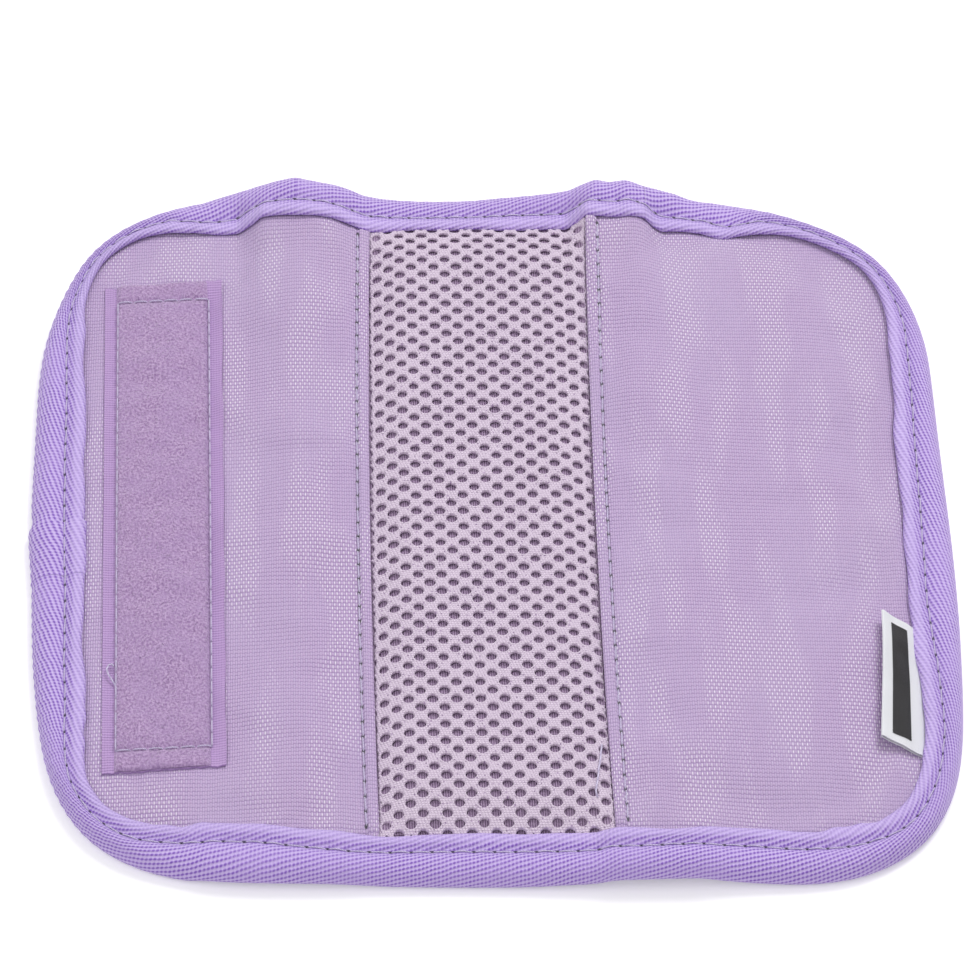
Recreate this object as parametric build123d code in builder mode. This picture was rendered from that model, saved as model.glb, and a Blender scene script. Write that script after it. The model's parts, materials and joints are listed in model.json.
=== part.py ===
"""Padded wrap that opens flat: a mesh-faced centre pad with two fold-over flaps.

Lengths are in millimetres. +X runs across the pad towards the hook flap, +Y runs
along the folds towards the back edge, +Z is up. The pad lies open on Z = 0 and the
origin is the middle of its footprint.
"""

from build123d import *
from math import atan2, degrees
import os

os.makedirs("parts", exist_ok=True)

# Plan sizes of the open pad
pad_depth = 180.0
centre_width = 46.7
fold_setback = 3.0
left_inner_width = 26.8
left_outer_width = 40.7
right_inner_width = 20.5
right_outer_width = 48.8
left_bow = 4.0
right_bow = 1.0
left_corner_radius = 38.0
back_right_corner_radius = 43.0
front_right_corner_radius = 32.0

# Layers, from the underside up
layer_gap = 0.05
fold_gap = 0.3
shell_thickness = 0.35
foam_thickness = 2.4
lining_thickness = 0.35

# Edge binding: a woven tape folded round the rim
binding_thickness = 0.8
binding_width = 10.3
binding_edge_radius = 1.2
lap_length = 14.0
lap_thickness = 0.7
lap_front_y = -13.0

# Soft ridge that each inner panel makes beside its seam
ridge_height = 4.2
left_ridge_crest = 0.55
right_ridge_crest = 0.45

# Spacer mesh of the centre pad
mesh_height = 3.0
mesh_face_thickness = 0.4
mesh_roll = 2.8
mesh_corner_radius = 4.0
mesh_hole_length = 3.3
mesh_hole_width = 3.0
mesh_pitch_x = 7.6
mesh_pitch_y = 6.9
mesh_rim = 2.4

# Folded lining edge over the mesh, with its topstitching
welt_thickness = 1.4
welt_fold_radius = 0.6
topstitch_setback = 2.4

# Thread
thread_width = 0.45
thread_height = 0.3
thread_gap = 0.02
ridge_thread_gap = 0.08
binding_stitch_pitch = 3.9
binding_stitch_length = 2.9
binding_stitch_setback = 6.5
seam_stitch_pitch = 3.6
seam_stitch_length = 2.6
tape_stitch_pitch = 3.3
tape_stitch_length = 2.4

# Loop tape on the left flap
loop_tape_width = 25.0
loop_tape_length = 128.0
loop_tape_end_margin = 14.4
loop_tape_thickness = 0.5
loop_pile_thickness = 0.9
loop_outer_selvedge = 2.4
loop_inner_selvedge = 3.1
loop_stitch_margin = 1.9
loop_stitch_end_margin = 5.0

# Hook tape on the underside of the right flap
hook_tape_width = 25.0
hook_tape_length = 112.0
hook_tape_end_margin = 12.2
hook_tape_thickness = 0.4
hook_selvedge = 2.5
hook_stitch_margin = 1.3
hook_stitch_pitch = 3.3

# Folded woven label let into the right binding
label_length = 33.0
label_reach = 8.0
label_thickness = 0.6
label_centre_y = -42.0
label_patch_length = 29.0
label_patch_width = 3.6
label_patch_thickness = 0.12
label_patch_setback = 2.0

# Levels that follow from the layers
shell_base = binding_thickness + layer_gap
foam_base = shell_base + shell_thickness + layer_gap
lining_base = foam_base + foam_thickness + layer_gap
lining_top = lining_base + lining_thickness
pad_top = lining_top + layer_gap + binding_thickness
welt_base = lining_top + layer_gap
welt_top = welt_base + welt_thickness

# Places that follow from the plan sizes
half_depth = pad_depth / 2
half_gap = fold_gap / 2
pad_length = (
    left_outer_width + left_inner_width + fold_setback + centre_width
    + fold_setback + right_inner_width + right_outer_width
)
left_end = -(pad_length + lap_thickness) / 2 + lap_thickness
left_wrap_fold = left_end + left_outer_width
left_seam_fold = left_wrap_fold + left_inner_width
mesh_left = left_seam_fold + fold_setback
mesh_right = mesh_left + centre_width
right_seam_fold = mesh_right + fold_setback
right_wrap_fold = right_seam_fold + right_inner_width
right_end = right_wrap_fold + right_outer_width
mesh_middle = (mesh_left + mesh_right) / 2
cloth_inset = binding_thickness + layer_gap
cloth_half_depth = half_depth - cloth_inset
field_half_depth = half_depth - binding_width - layer_gap

# Each ridge is four equal-sided arcs: up from its seam fold, over its crest and down
seam_fold = {"left": left_seam_fold, "right": right_seam_fold}
wrap_fold = {"left": left_wrap_fold, "right": right_wrap_fold}
inner_start = {"left": left_seam_fold - half_gap, "right": right_seam_fold + half_gap}
inner_end = {"left": left_wrap_fold + half_gap, "right": right_wrap_fold - half_gap}
crest_share = {"left": left_ridge_crest, "right": right_ridge_crest}


def ridge_crest(side):
    """Where the ridge of one inner panel is highest."""
    return inner_start[side] + crest_share[side] * (inner_end[side] - inner_start[side])


def ridge(side, x):
    """Height of the soft ridge above the flat pad, level at both of its folds."""
    start, crest, end = inner_start[side], ridge_crest(side), inner_end[side]
    foot = start if (x - crest) * (start - crest) > 0 else end
    run = abs(foot - crest)
    radius = (run**2 + ridge_height**2) / (4 * ridge_height)
    from_crest = min(abs(x - crest), run)
    if from_crest > run / 2:
        return radius - (radius**2 - (run - from_crest) ** 2) ** 0.5
    return ridge_height - radius + (radius**2 - from_crest**2) ** 0.5


def write(piece, name):
    """Label a finished piece and write its file."""
    piece.part.label = name
    export_step(piece.part, f"parts/{name}.step")


def pad_outline(inset):
    """Outline of the whole open pad, drawn in by inset on every side."""
    with BuildSketch() as outline:
        with BuildLine():
            back_left = (left_end + left_bow, half_depth)
            back_right = (right_end - right_bow, half_depth)
            front_left = (left_end + left_bow, -half_depth)
            front_right = (right_end - right_bow, -half_depth)
            Line(back_left, back_right)
            ThreePointArc(back_right, (right_end, 0), front_right)
            Line(front_right, front_left)
            ThreePointArc(front_left, (left_end, 0), back_left)
        make_face()
        corners = outline.vertices().sort_by(Axis.X)
        fillet(corners[:2], radius=left_corner_radius)
        right_corners = outline.vertices().sort_by(Axis.X)[-2:].sort_by(Axis.Y)
        fillet(right_corners[1], radius=back_right_corner_radius)
        front_corner = outline.vertices().sort_by(Axis.X)[-3:].sort_by(Axis.Y)[0]
        fillet(front_corner, radius=front_right_corner_radius)
        if inset:
            offset(amount=-inset)
    return outline.sketch


def flap_region(side):
    """Rectangle over one outer flap, from its wrap fold outwards."""
    reach = pad_length
    if side == "left":
        low, high = left_wrap_fold - half_gap - reach, left_wrap_fold - half_gap
    else:
        low, high = right_wrap_fold + half_gap, right_wrap_fold + half_gap + reach
    with BuildSketch() as region:
        with Locations(((low + high) / 2, 0)):
            Rectangle(high - low, 2 * pad_depth)
    return region.sketch


def flap_layer(side, inset, base, thickness):
    """Flat sheet of one outer flap."""
    with BuildPart() as layer:
        with BuildSketch(Plane.XY.offset(base)):
            add(pad_outline(inset))
            add(flap_region(side), mode=Mode.INTERSECT)
        extrude(amount=thickness)
    return layer


def ridge_line(side, height):
    """Arcs along one inner panel at a height over the table, rising with the ridge."""
    start, crest, end = inner_start[side], ridge_crest(side), inner_end[side]
    forward = (1 if end > start else -1, 0)
    with BuildLine() as line:
        spot, heading = (start, height), forward
        for next_spot in (
            ((start + crest) / 2, height + ridge_height / 2),
            (crest, height + ridge_height),
            ((crest + end) / 2, height + ridge_height / 2),
            (end, height),
        ):
            arc = TangentArc(spot, next_spot, tangent=heading)
            spot, heading = next_spot, arc % 1
    return line.line


def ridge_layer(side, half_length, base, thickness):
    """Sheet of one inner panel that follows the ridge, centred on Y = 0."""
    start, end = inner_start[side], inner_end[side]
    with BuildPart() as layer:
        with BuildSketch(Plane.XZ.offset(-half_length)):
            with BuildLine():
                add(ridge_line(side, base))
                add(ridge_line(side, base + thickness))
                Line((start, base), (start, base + thickness))
                Line((end, base), (end, base + thickness))
            make_face()
        extrude(amount=2 * half_length)
    return layer


def stitch_row(places, length):
    """Group of short flat-bottomed stitches, one at each place."""
    with BuildPart() as row:
        with Locations(*places):
            Box(length, thread_width, thread_height, align=(Align.CENTER, Align.CENTER, Align.MIN))
    return row


def straight_places(start, end, pitch, height):
    """Evenly spaced stitch places along a straight line."""
    run_x, run_y = end[0] - start[0], end[1] - start[1]
    length = (run_x**2 + run_y**2) ** 0.5
    count = max(int(length / pitch), 1)
    turn = degrees(atan2(run_y, run_x))
    places = []
    for i in range(count):
        share = (i + 0.5) / count
        point = (start[0] + run_x * share, start[1] + run_y * share, height)
        places.append(Location(point, (0, 0, turn)))
    return places


# ---------------------------------------------------------------- centre pad
centre_width_cut = right_seam_fold - left_seam_fold - fold_gap
for name, base, thickness in (
    ("shell_centre", shell_base, shell_thickness),
    ("foam_centre", foam_base, foam_thickness),
    ("mesh_ground", lining_base, lining_thickness),
):
    with BuildPart() as sheet:
        with BuildSketch(Plane.XY.offset(base)):
            with Locations((mesh_middle, 0)):
                Rectangle(centre_width_cut, 2 * cloth_half_depth)
        extrude(amount=thickness)
    write(sheet, name)


def mesh_pillow(shrink):
    """Crowned block of the spacer mesh, smaller all round by shrink."""
    width = centre_width - 2 * layer_gap - 2 * shrink
    with BuildPart() as pillow:
        with BuildSketch(Plane.XY.offset(welt_base)):
            with Locations((mesh_middle, 0)):
                RectangleRounded(
                    width, 2 * (field_half_depth - shrink), mesh_corner_radius - shrink
                )
        extrude(amount=mesh_height + mesh_face_thickness + layer_gap - shrink)
        fillet(pillow.faces().sort_by(Axis.Z)[-1].edges(), radius=mesh_roll - shrink)
    return pillow.part


# The yarns that hold the two knitted faces apart, as one springy block
with BuildPart() as mesh_spacer:
    add(mesh_pillow(mesh_face_thickness + layer_gap))
write(mesh_spacer, "mesh_spacer")

# The open knitted face, drawn down at its sides, with staggered oval holes
mesh_field_width = centre_width - 2 * (mesh_roll + mesh_rim)
mesh_field_depth = 2 * (field_half_depth - mesh_roll - mesh_rim)
hole_columns = int(mesh_field_width / mesh_pitch_x) + 1
hole_rows = int(mesh_field_depth / mesh_pitch_y) + 1
with BuildPart() as mesh_face:
    add(mesh_pillow(0))
    add(mesh_pillow(mesh_face_thickness), mode=Mode.SUBTRACT)
    with BuildSketch(Plane.XY.offset(welt_base)):
        with Locations((mesh_middle, 0)):
            with GridLocations(mesh_pitch_x, mesh_pitch_y, hole_columns, hole_rows):
                Ellipse(mesh_hole_length / 2, mesh_hole_width / 2)
            with GridLocations(mesh_pitch_x, mesh_pitch_y, hole_columns - 1, hole_rows - 1):
                Ellipse(mesh_hole_length / 2, mesh_hole_width / 2)
    extrude(amount=mesh_height + mesh_roll, mode=Mode.SUBTRACT)
write(mesh_face, "mesh_face")
print("mesh holes", hole_columns * hole_rows + (hole_columns - 1) * (hole_rows - 1))

# Folded lining edge along each side of the mesh, rounded at the fold
for side, fold_edge in (("left", mesh_left), ("right", mesh_right)):
    outwards = -1 if side == "left" else 1
    hinge_side = seam_fold[side] - outwards * half_gap
    with BuildPart() as seam_welt:
        with BuildSketch(Plane.XY.offset(welt_base)):
            with Locations(((fold_edge + hinge_side) / 2, 0)):
                Rectangle(abs(hinge_side - fold_edge), 2 * field_half_depth)
        extrude(amount=welt_thickness)
        mesh_side = seam_welt.faces().sort_by(Axis.X)[-1 if side == "left" else 0]
        fillet(mesh_side.edges().filter_by(Axis.Y), radius=welt_fold_radius)
    write(seam_welt, f"seam_welt_{side}")

    stitch_x = fold_edge + outwards * topstitch_setback
    places = straight_places(
        (stitch_x, -field_half_depth),
        (stitch_x, field_half_depth),
        seam_stitch_pitch,
        welt_top + thread_gap,
    )
    write(stitch_row(places, seam_stitch_length), f"seam_stitches_{side}")

# ------------------------------------------------- binding of the centre pad
for name, face_y in (("binding_back_centre", 1), ("binding_front_centre", -1)):
    with BuildPart() as binding:
        with BuildSketch(Plane.YZ.offset(left_seam_fold + half_gap)):
            with Locations((face_y * (half_depth - binding_width / 2), pad_top / 2)):
                Rectangle(binding_width, pad_top)
            with Locations((face_y * (half_depth - binding_width / 2 - binding_thickness), pad_top / 2)):
                Rectangle(binding_width, pad_top - 2 * binding_thickness, mode=Mode.SUBTRACT)
        extrude(amount=centre_width_cut)
        rim = binding.faces().sort_by(Axis.Y)[-1 if face_y > 0 else 0]
        fillet(rim.edges().filter_by(Axis.X), radius=binding_edge_radius)
    write(binding, name)

# -------------------------------------------------------------- inner panels
for side in ("left", "right"):
    for cloth, base, thickness in (
        ("shell", shell_base, shell_thickness),
        ("foam", foam_base, foam_thickness),
        ("lining", lining_base, lining_thickness),
    ):
        panel = ridge_layer(side, cloth_half_depth, base, thickness)
        write(panel, f"{cloth}_{side}_inner")

    with BuildPart() as binding:
        add(ridge_layer(side, half_depth, 0, pad_top).part)
        rims = binding.faces().sort_by(Axis.Y)[0] + binding.faces().sort_by(Axis.Y)[-1]
        fillet([e for e in rims.edges() if abs(e.length) > pad_top + 1], radius=binding_edge_radius)
        inner_height = pad_top - 2 * binding_thickness
        add(
            ridge_layer(side, half_depth - binding_thickness, binding_thickness, inner_height).part,
            mode=Mode.SUBTRACT,
        )
        with BuildSketch(Plane.XY):
            with Locations(((seam_fold[side] + wrap_fold[side]) / 2, 0)):
                Rectangle(pad_length, 2 * (half_depth - binding_width))
        extrude(amount=pad_top + 2 * ridge_height, mode=Mode.SUBTRACT)
    write(binding, f"binding_{side}_inner")

# -------------------------------------------------------------- outer flaps
for side in ("left", "right"):
    for cloth, base, thickness in (
        ("shell", shell_base, shell_thickness),
        ("foam", foam_base, foam_thickness),
        ("lining", lining_base, lining_thickness),
    ):
        flap = flap_layer(side, cloth_inset, base, thickness)
        write(flap, f"{cloth}_{side}_outer")

    with BuildPart() as binding:
        add(flap_layer(side, 0, 0, pad_top).part)
        fold_x = wrap_fold[side]
        flat_faces = binding.faces().filter_by(Axis.Z)
        rim = flat_faces.edges().filter_by(lambda edge: abs((edge @ 0.5).X - fold_x) > fold_gap)
        fillet(rim, radius=binding_edge_radius)
        inner_height = pad_top - 2 * binding_thickness
        add(
            flap_layer(side, binding_thickness, binding_thickness, inner_height).part,
            mode=Mode.SUBTRACT,
        )
        add(flap_layer(side, binding_width, 0, pad_top).part, mode=Mode.SUBTRACT)
    write(binding, f"binding_{side}_end")

# ------------------------------------------------------- stitches of the rim
with BuildSketch() as stitch_outline:
    add(pad_outline(binding_stitch_setback))
stitch_path = stitch_outline.sketch.face().outer_wire()
stitch_count = int(stitch_path.length / binding_stitch_pitch)
stitch_reach = binding_stitch_length / 2 + fold_gap
rows = {name: [] for name in ("left_end", "left_inner", "centre", "right_inner", "right_end")}
for i in range(stitch_count):
    along = stitch_path.length * (i + 0.5) / stitch_count
    point = stitch_path.position_at(along, position_mode=PositionMode.LENGTH)
    run = stitch_path.tangent_at(along, position_mode=PositionMode.LENGTH)
    folds = (left_wrap_fold, left_seam_fold, right_seam_fold, right_wrap_fold)
    if min(abs(point.X - fold) for fold in folds) < stitch_reach:
        continue
    row = list(rows)[sum(point.X > fold for fold in folds)]
    height = pad_top + thread_gap
    from_lap = abs(point.Y - lap_front_y - lap_length / 2) - lap_length / 2
    if row == "left_end" and abs(from_lap) < stitch_reach:
        continue
    if row == "left_end" and from_lap < 0:
        height = height + layer_gap + lap_thickness
    if row.endswith("inner"):
        side = row.split("_")[0]
        reach = [binding_stitch_length * share / 8 for share in range(-4, 5)]
        slope = (ridge(side, point.X + reach[-1]) - ridge(side, point.X + reach[0])) / binding_stitch_length
        height = height + max(ridge(side, point.X + x) - slope * x for x in reach) + ridge_thread_gap
        rise = Vector(1, 0, slope)
        place = Plane((point.X, point.Y, height), x_dir=rise, z_dir=rise.cross(Vector(0, 1, 0)))
    else:
        place = Plane((point.X, point.Y, height), x_dir=run, z_dir=(0, 0, 1))
    rows[row].append(place)
for row, places in rows.items():
    write(stitch_row(places, binding_stitch_length), f"binding_stitches_{row}")

# ----------------------------------------------- lapped end of the binding
with BuildPart() as binding_lap:
    lap_middle_y = lap_front_y + lap_length / 2
    with BuildSketch(Plane.XZ.offset(-lap_front_y - lap_length)):
        with BuildLine():
            lap_top = pad_top + layer_gap + lap_thickness
            lap_out = left_end - lap_thickness
            Polyline(
                (lap_out, 0),
                (lap_out, lap_top),
                (left_end + binding_width, lap_top),
                (left_end + binding_width, lap_top - lap_thickness),
                (left_end - layer_gap, lap_top - lap_thickness),
                (left_end - layer_gap, 0),
                close=True,
            )
        make_face()
    extrude(amount=lap_length)
    top_corner = binding_lap.edges().filter_by(Axis.Y).group_by(Axis.Z)[-1].sort_by(Axis.X)[0]
    fillet(top_corner, radius=binding_edge_radius)
write(binding_lap, "binding_lap")

# ------------------------------------------------------------- loop fastener
loop_low_x = left_end + loop_tape_end_margin
loop_middle_x = loop_low_x + loop_tape_width / 2
loop_base = lining_top + layer_gap
pile_base = loop_base + loop_tape_thickness + layer_gap
pile_low_x = loop_low_x + loop_outer_selvedge
pile_width = loop_tape_width - loop_outer_selvedge - loop_inner_selvedge
with BuildPart() as loop_tape:
    with BuildSketch(Plane.XY.offset(loop_base)):
        with Locations((loop_middle_x, 0)):
            Rectangle(loop_tape_width, loop_tape_length)
    extrude(amount=loop_tape_thickness)
write(loop_tape, "loop_tape")

with BuildPart() as loop_pile:
    with BuildSketch(Plane.XY.offset(pile_base)):
        with Locations((pile_low_x + pile_width / 2, 0)):
            Rectangle(pile_width, loop_tape_length)
    extrude(amount=loop_pile_thickness)
    long_edges = loop_pile.faces().sort_by(Axis.Z)[-1].edges().filter_by(Axis.Y)
    fillet(long_edges, radius=loop_pile_thickness / 2)
write(loop_pile, "loop_pile")

stitch_left = loop_low_x + loop_stitch_margin
stitch_right = loop_low_x + loop_tape_width - loop_stitch_margin
stitch_end_y = loop_tape_length / 2 - loop_stitch_end_margin
side_height = loop_base + loop_tape_thickness + thread_gap
end_height = pile_base + loop_pile_thickness + thread_gap
places = []
for x in (stitch_left, stitch_right):
    places += straight_places((x, -stitch_end_y), (x, stitch_end_y), tape_stitch_pitch, side_height)
for y in (-stitch_end_y, stitch_end_y):
    start = (pile_low_x + loop_pile_thickness, y)
    end = (pile_low_x + pile_width - loop_pile_thickness, y)
    places += straight_places(start, end, tape_stitch_pitch, end_height)
write(stitch_row(places, tape_stitch_length), "loop_tape_stitches")

# ------------------------------------------------------------- hook fastener
hook_middle_x = right_end - hook_tape_end_margin - hook_tape_width / 2
hook_tape_base = binding_thickness - hook_tape_thickness
with BuildPart() as hook_tape:
    with BuildSketch(Plane.XY.offset(hook_tape_base)):
        with Locations((hook_middle_x, 0)):
            Rectangle(hook_tape_width, hook_tape_length)
    extrude(amount=hook_tape_thickness)
write(hook_tape, "hook_tape")

with BuildPart() as hook_field:
    with BuildSketch(Plane.XY):
        with Locations((hook_middle_x, 0)):
            Rectangle(hook_tape_width - 2 * hook_selvedge, hook_tape_length)
    extrude(amount=hook_tape_base - layer_gap)
write(hook_field, "hook_field")

hook_stitch_x = hook_tape_width / 2 - hook_stitch_margin
stitch_base = hook_tape_base - thread_gap - thread_height
places = []
for x in (hook_middle_x - hook_stitch_x, hook_middle_x + hook_stitch_x):
    places += straight_places(
        (x, -hook_tape_length / 2), (x, hook_tape_length / 2), hook_stitch_pitch, stitch_base
    )
write(stitch_row(places, tape_stitch_length), "hook_tape_stitches")

# --------------------------------------------------------------------- label
label_outer_x = right_end - binding_width - layer_gap - right_bow
label_low_x = label_outer_x - label_reach
with BuildPart() as label:
    with BuildSketch(Plane.XY.offset(lining_top + layer_gap)):
        with Locations(((label_low_x + label_outer_x) / 2, label_centre_y)):
            Rectangle(label_reach, label_length)
    extrude(amount=label_thickness)
    fold = label.faces().sort_by(Axis.X)[0]
    fillet(fold.edges().filter_by(Axis.Y), radius=label_thickness * 0.45)
write(label, "label")

with BuildPart() as label_patch:
    with BuildSketch(Plane.XY.offset(lining_top + layer_gap + label_thickness + thread_gap)):
        with Locations((label_outer_x - label_patch_setback - label_patch_width / 2, label_centre_y)):
            Rectangle(label_patch_width, label_patch_length)
    extrude(amount=label_patch_thickness)
write(label_patch, "label_patch")

# Fold axes: each lies at the top of the pad, so a flap folds up without touching
print("overall length", round(pad_length + lap_thickness, 3), "depth", pad_depth)
for name, x, z in (
    ("left_seam_fold", left_seam_fold, welt_top),
    ("left_wrap_fold", left_wrap_fold, pad_top),
    ("right_seam_fold", right_seam_fold, welt_top),
    ("right_wrap_fold", right_wrap_fold, pad_top),
):
    print(name, "axis at x", round(x, 3), "z", round(z, 3))
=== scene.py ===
"""Padded wrap that opens flat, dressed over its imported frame.

Sizes are in millimetres and become metres where each mesh is made. +X runs across the pad
towards the hook flap, +Y along the folds towards the back edge, +Z is up.
"""

import json
import math

import bpy
import numpy as np
from mathutils import Matrix, Vector


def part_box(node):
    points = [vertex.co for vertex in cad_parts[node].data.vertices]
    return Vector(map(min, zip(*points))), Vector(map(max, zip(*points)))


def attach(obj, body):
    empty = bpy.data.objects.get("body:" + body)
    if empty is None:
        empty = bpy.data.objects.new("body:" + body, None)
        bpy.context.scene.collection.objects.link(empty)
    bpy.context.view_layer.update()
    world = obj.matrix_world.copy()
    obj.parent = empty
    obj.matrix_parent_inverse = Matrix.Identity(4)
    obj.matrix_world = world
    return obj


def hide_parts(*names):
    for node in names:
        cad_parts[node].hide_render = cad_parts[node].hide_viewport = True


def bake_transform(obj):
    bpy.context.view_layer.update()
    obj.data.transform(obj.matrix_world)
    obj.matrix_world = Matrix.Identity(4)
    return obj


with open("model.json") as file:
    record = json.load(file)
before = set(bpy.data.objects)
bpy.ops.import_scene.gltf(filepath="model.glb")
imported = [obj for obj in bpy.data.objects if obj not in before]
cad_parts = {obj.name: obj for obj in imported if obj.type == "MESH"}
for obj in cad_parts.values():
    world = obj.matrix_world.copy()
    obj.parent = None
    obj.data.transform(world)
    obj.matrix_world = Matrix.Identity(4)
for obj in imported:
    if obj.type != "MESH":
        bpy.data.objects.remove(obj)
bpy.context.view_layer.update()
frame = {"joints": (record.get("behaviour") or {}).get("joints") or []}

# ------------------------------------------------------------------ outer shell
# One piece of plain woven polyester, the underside of the wrap, cut to the rounded outline.
# Its raw edge is caught inside the edge binding. It lifts off the table in two soft humps
# beside the seams, where the pad keeps the bend of its use.
left_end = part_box("binding_left_end")[0].x * 1000
right_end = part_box("binding_right_end")[1].x * 1000
shell_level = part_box("shell_centre")[1].z * 1000
shell_cloth_thickness = 0.3
shell_inset = 2.6
cloth_pitch = 1.25
shell_colour = (0.435, 0.332, 0.560)

# Places on the edge in plan, clockwise from the middle of the left side
outline_marks = (
    (-95.5, 4), (-95.4, 20), (-95.0, 37), (-94.0, 48), (-92.7, 54), (-91.0, 60), (-88.8, 66), (-86.2, 72),
    (-82.5, 77.3), (-77.2, 82), (-70.5, 86), (-63.3, 89.2), (-56, 90.2), (-40, 90), (-12, 89.8), (20, 90),
    (44, 90), (52, 89.2), (58, 87.9), (64.5, 85.8), (71, 83), (77.4, 79.6), (83.6, 74.8), (88, 69.3),
    (90.8, 63.5), (92.9, 57.5), (94.3, 52), (95.1, 46), (95.5, 34), (95.8, 15), (95.9, -5), (95.8, -28),
    (95.3, -43), (94.5, -54), (93, -63), (90.9, -69.8), (87.3, -76.8), (82.6, -82), (76.6, -86),
    (69.5, -88.8),
    (60, -90), (40, -90), (10, -89.9), (-20, -89.9), (-38, -89.6), (-52, -89.1), (-62, -87.9), (-70, -85.8),
    (-76.5, -82.7), (-81.8, -78.6), (-86.2, -72.8), (-89.2, -66.5), (-91.4, -59), (-93, -47), (-94.1, -32),
    (-94.8, -16),
)


def outline():
    """Even places on a smooth line through the marks, with their inward directions."""
    marks = np.array(outline_marks + outline_marks[:1], float)
    walk = np.concatenate([[0], np.cumsum(np.linalg.norm(np.diff(marks, axis=0), axis=1))])
    fine = np.linspace(0, walk[-1], 2800, endpoint=False)
    path = np.column_stack([np.interp(fine, walk, marks[:, k]) for k in (0, 1)])
    span = np.arange(-60, 61)
    soft = np.exp(-((span * walk[-1] / 2800 / 3.6) ** 2) / 2)
    path = sum(w * np.roll(path, -k, 0) for k, w in zip(span, soft / soft.sum()))
    path = np.vstack([path, path[:1]])
    walk = np.concatenate([[0], np.cumsum(np.linalg.norm(np.diff(path, axis=0), axis=1))])
    spots = np.linspace(0, walk[-1], int(walk[-1] / 0.55), endpoint=False)
    places = np.column_stack([np.interp(spots, walk, path[:, k]) for k in (0, 1)])
    heading = np.roll(places, -1, 0) - np.roll(places, 1, 0)
    heading /= np.linalg.norm(heading, axis=1)[:, None]
    return places, np.column_stack([heading[:, 1], -heading[:, 0]])


rim, rim_inwards = outline()


def rim_depth(points):
    """How far inside the outline each point lies, and the rim place nearest to it."""
    nearest = np.empty(len(points), int)
    for first in range(0, len(points), 4000):
        gap = points[first : first + 4000, None] - rim[None]
        nearest[first : first + 4000] = (gap**2).sum(2).argmin(1)
    return ((points - rim[nearest]) * rim_inwards[nearest]).sum(1), nearest


def ease(t):
    """Smooth step from 0 to 1."""
    t = np.clip(t, 0, 1)
    return t * t * (3 - 2 * t)


def through(stations, values, at):
    """Smooth curve through values at some stations, without overshoot. Values may have one
    row a station and one column a place."""
    stations = np.asarray(stations, float)
    values = np.asarray(values, float)
    at = np.clip(at, stations[0], stations[-1])
    spread = (-1,) + (1,) * (values.ndim - 1)
    gaps = np.diff(stations)
    slopes = np.diff(values, axis=0) / gaps.reshape(spread)
    both = slopes[:-1] * slopes[1:]
    middle = np.where(both > 0, 2 * both / np.where(both > 0, slopes[:-1] + slopes[1:], 1), 0)
    tangents = np.concatenate([0 * slopes[:1], middle, 0 * slopes[-1:]])
    k = np.clip(np.searchsorted(stations, at, side="right") - 1, 0, len(gaps) - 1)
    t = (at - stations[k]) / gaps[k]
    pick = (k,) if values.ndim == 1 else (k, np.arange(values.shape[1]))
    following = (k + 1,) + pick[1:]
    return (
        (1 + 2 * t) * (1 - t) ** 2 * values[pick] + t * (1 - t) ** 2 * gaps[k] * tangents[pick]
        + t**2 * (3 - 2 * t) * values[following] - t**2 * (1 - t) * gaps[k] * tangents[following]
    )


# How far the pad stands off the table: humps beside the seams, highest at the back. One row
# for each station from front to back, as pairs of a place across and a height.
rise_rows = {
    -90: ((-64, 0), (-57, 1.0), (-46, 1.3), (-36, 1.2), (-28, 0.7), (-22, 0.2), (-8, 0), (4, 0.2), (12, 0.8),
          (18, 1.3), (23, 2.4), (30, 2.6), (38, 2.7), (44, 1.7), (52, 0.6), (64, 0)),
    -79: ((-64, 0), (-57, 0.8), (-46, 1.1), (-34, 1.1), (-27, 0.3), (-20, 0), (12, 0), (18, 0.5), (23, 2.3),
          (30, 2.5), (38, 2.5), (46, 1.3), (54, 0.4), (66, 0)),
    -50: ((-60, 0), (-50, 0.6), (-38, 1.3), (-29, 1.0), (-21, 0), (14, 0), (22, 1.3), (30, 2.2), (40, 1.9),
          (52, 0.7), (68, 0)),
    0: ((-60, 0), (-50, 0.7), (-38, 1.9), (-29, 1.5), (-21, 0), (16, 0), (22, 1.3), (30, 2.3), (40, 1.7),
        (52, 0.5), (64, 0)),
    42: ((-60, 0), (-52, 0.7), (-40, 2.9), (-30, 2.3), (-21, 0), (16, 0), (22, 2.2), (30, 3.4), (38, 2.3),
         (47, 0.4), (58, 0)),
    70: ((-58, 0), (-53, 0.4), (-46, 3.0), (-38, 4.3), (-31, 3.5), (-22, 0), (17, 0), (21, 2.4), (26, 4.5),
         (33, 4.4), (39, 1.6), (45, 0.1), (52, 0)),
    79.5: ((-60, 0), (-53.5, 0), (-50, 2.6), (-47, 5.3), (-43, 5.6), (-37, 5.6), (-33, 4.8), (-28.5, 2.6),
           (-24, 0.3), (-19, 0), (14, 0), (18, 0.2), (20.5, 2.4), (23, 5.4), (28.5, 5.2), (32.5, 5.9),
           (35, 5.2), (37.8, 1.5), (40, 0), (60, 0)),
    90: ((-62, 0), (-56.7, 1.4), (-50, 4.0), (-44, 6.5), (-40.3, 7.5), (-37, 6.6), (-30.6, 4.7), (-24, 1.3),
         (-18, 0.3), (-12, 0), (-4, 0.1), (4, 1.0), (12, 1.9), (18.6, 3.1), (22, 5.0), (25, 6.6), (28.3, 6.0),
         (31.5, 6.5), (35, 4.9), (41.6, 2.5), (48.3, 0), (60, 0)),
}


def rise(x, y):
    x, y = np.broadcast_arrays(np.asarray(x, float), np.asarray(y, float))
    rows = [through(*zip(*row), x.ravel()) for row in rise_rows.values()]
    return through(tuple(rise_rows), rows, y.ravel()).reshape(x.shape)


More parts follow.
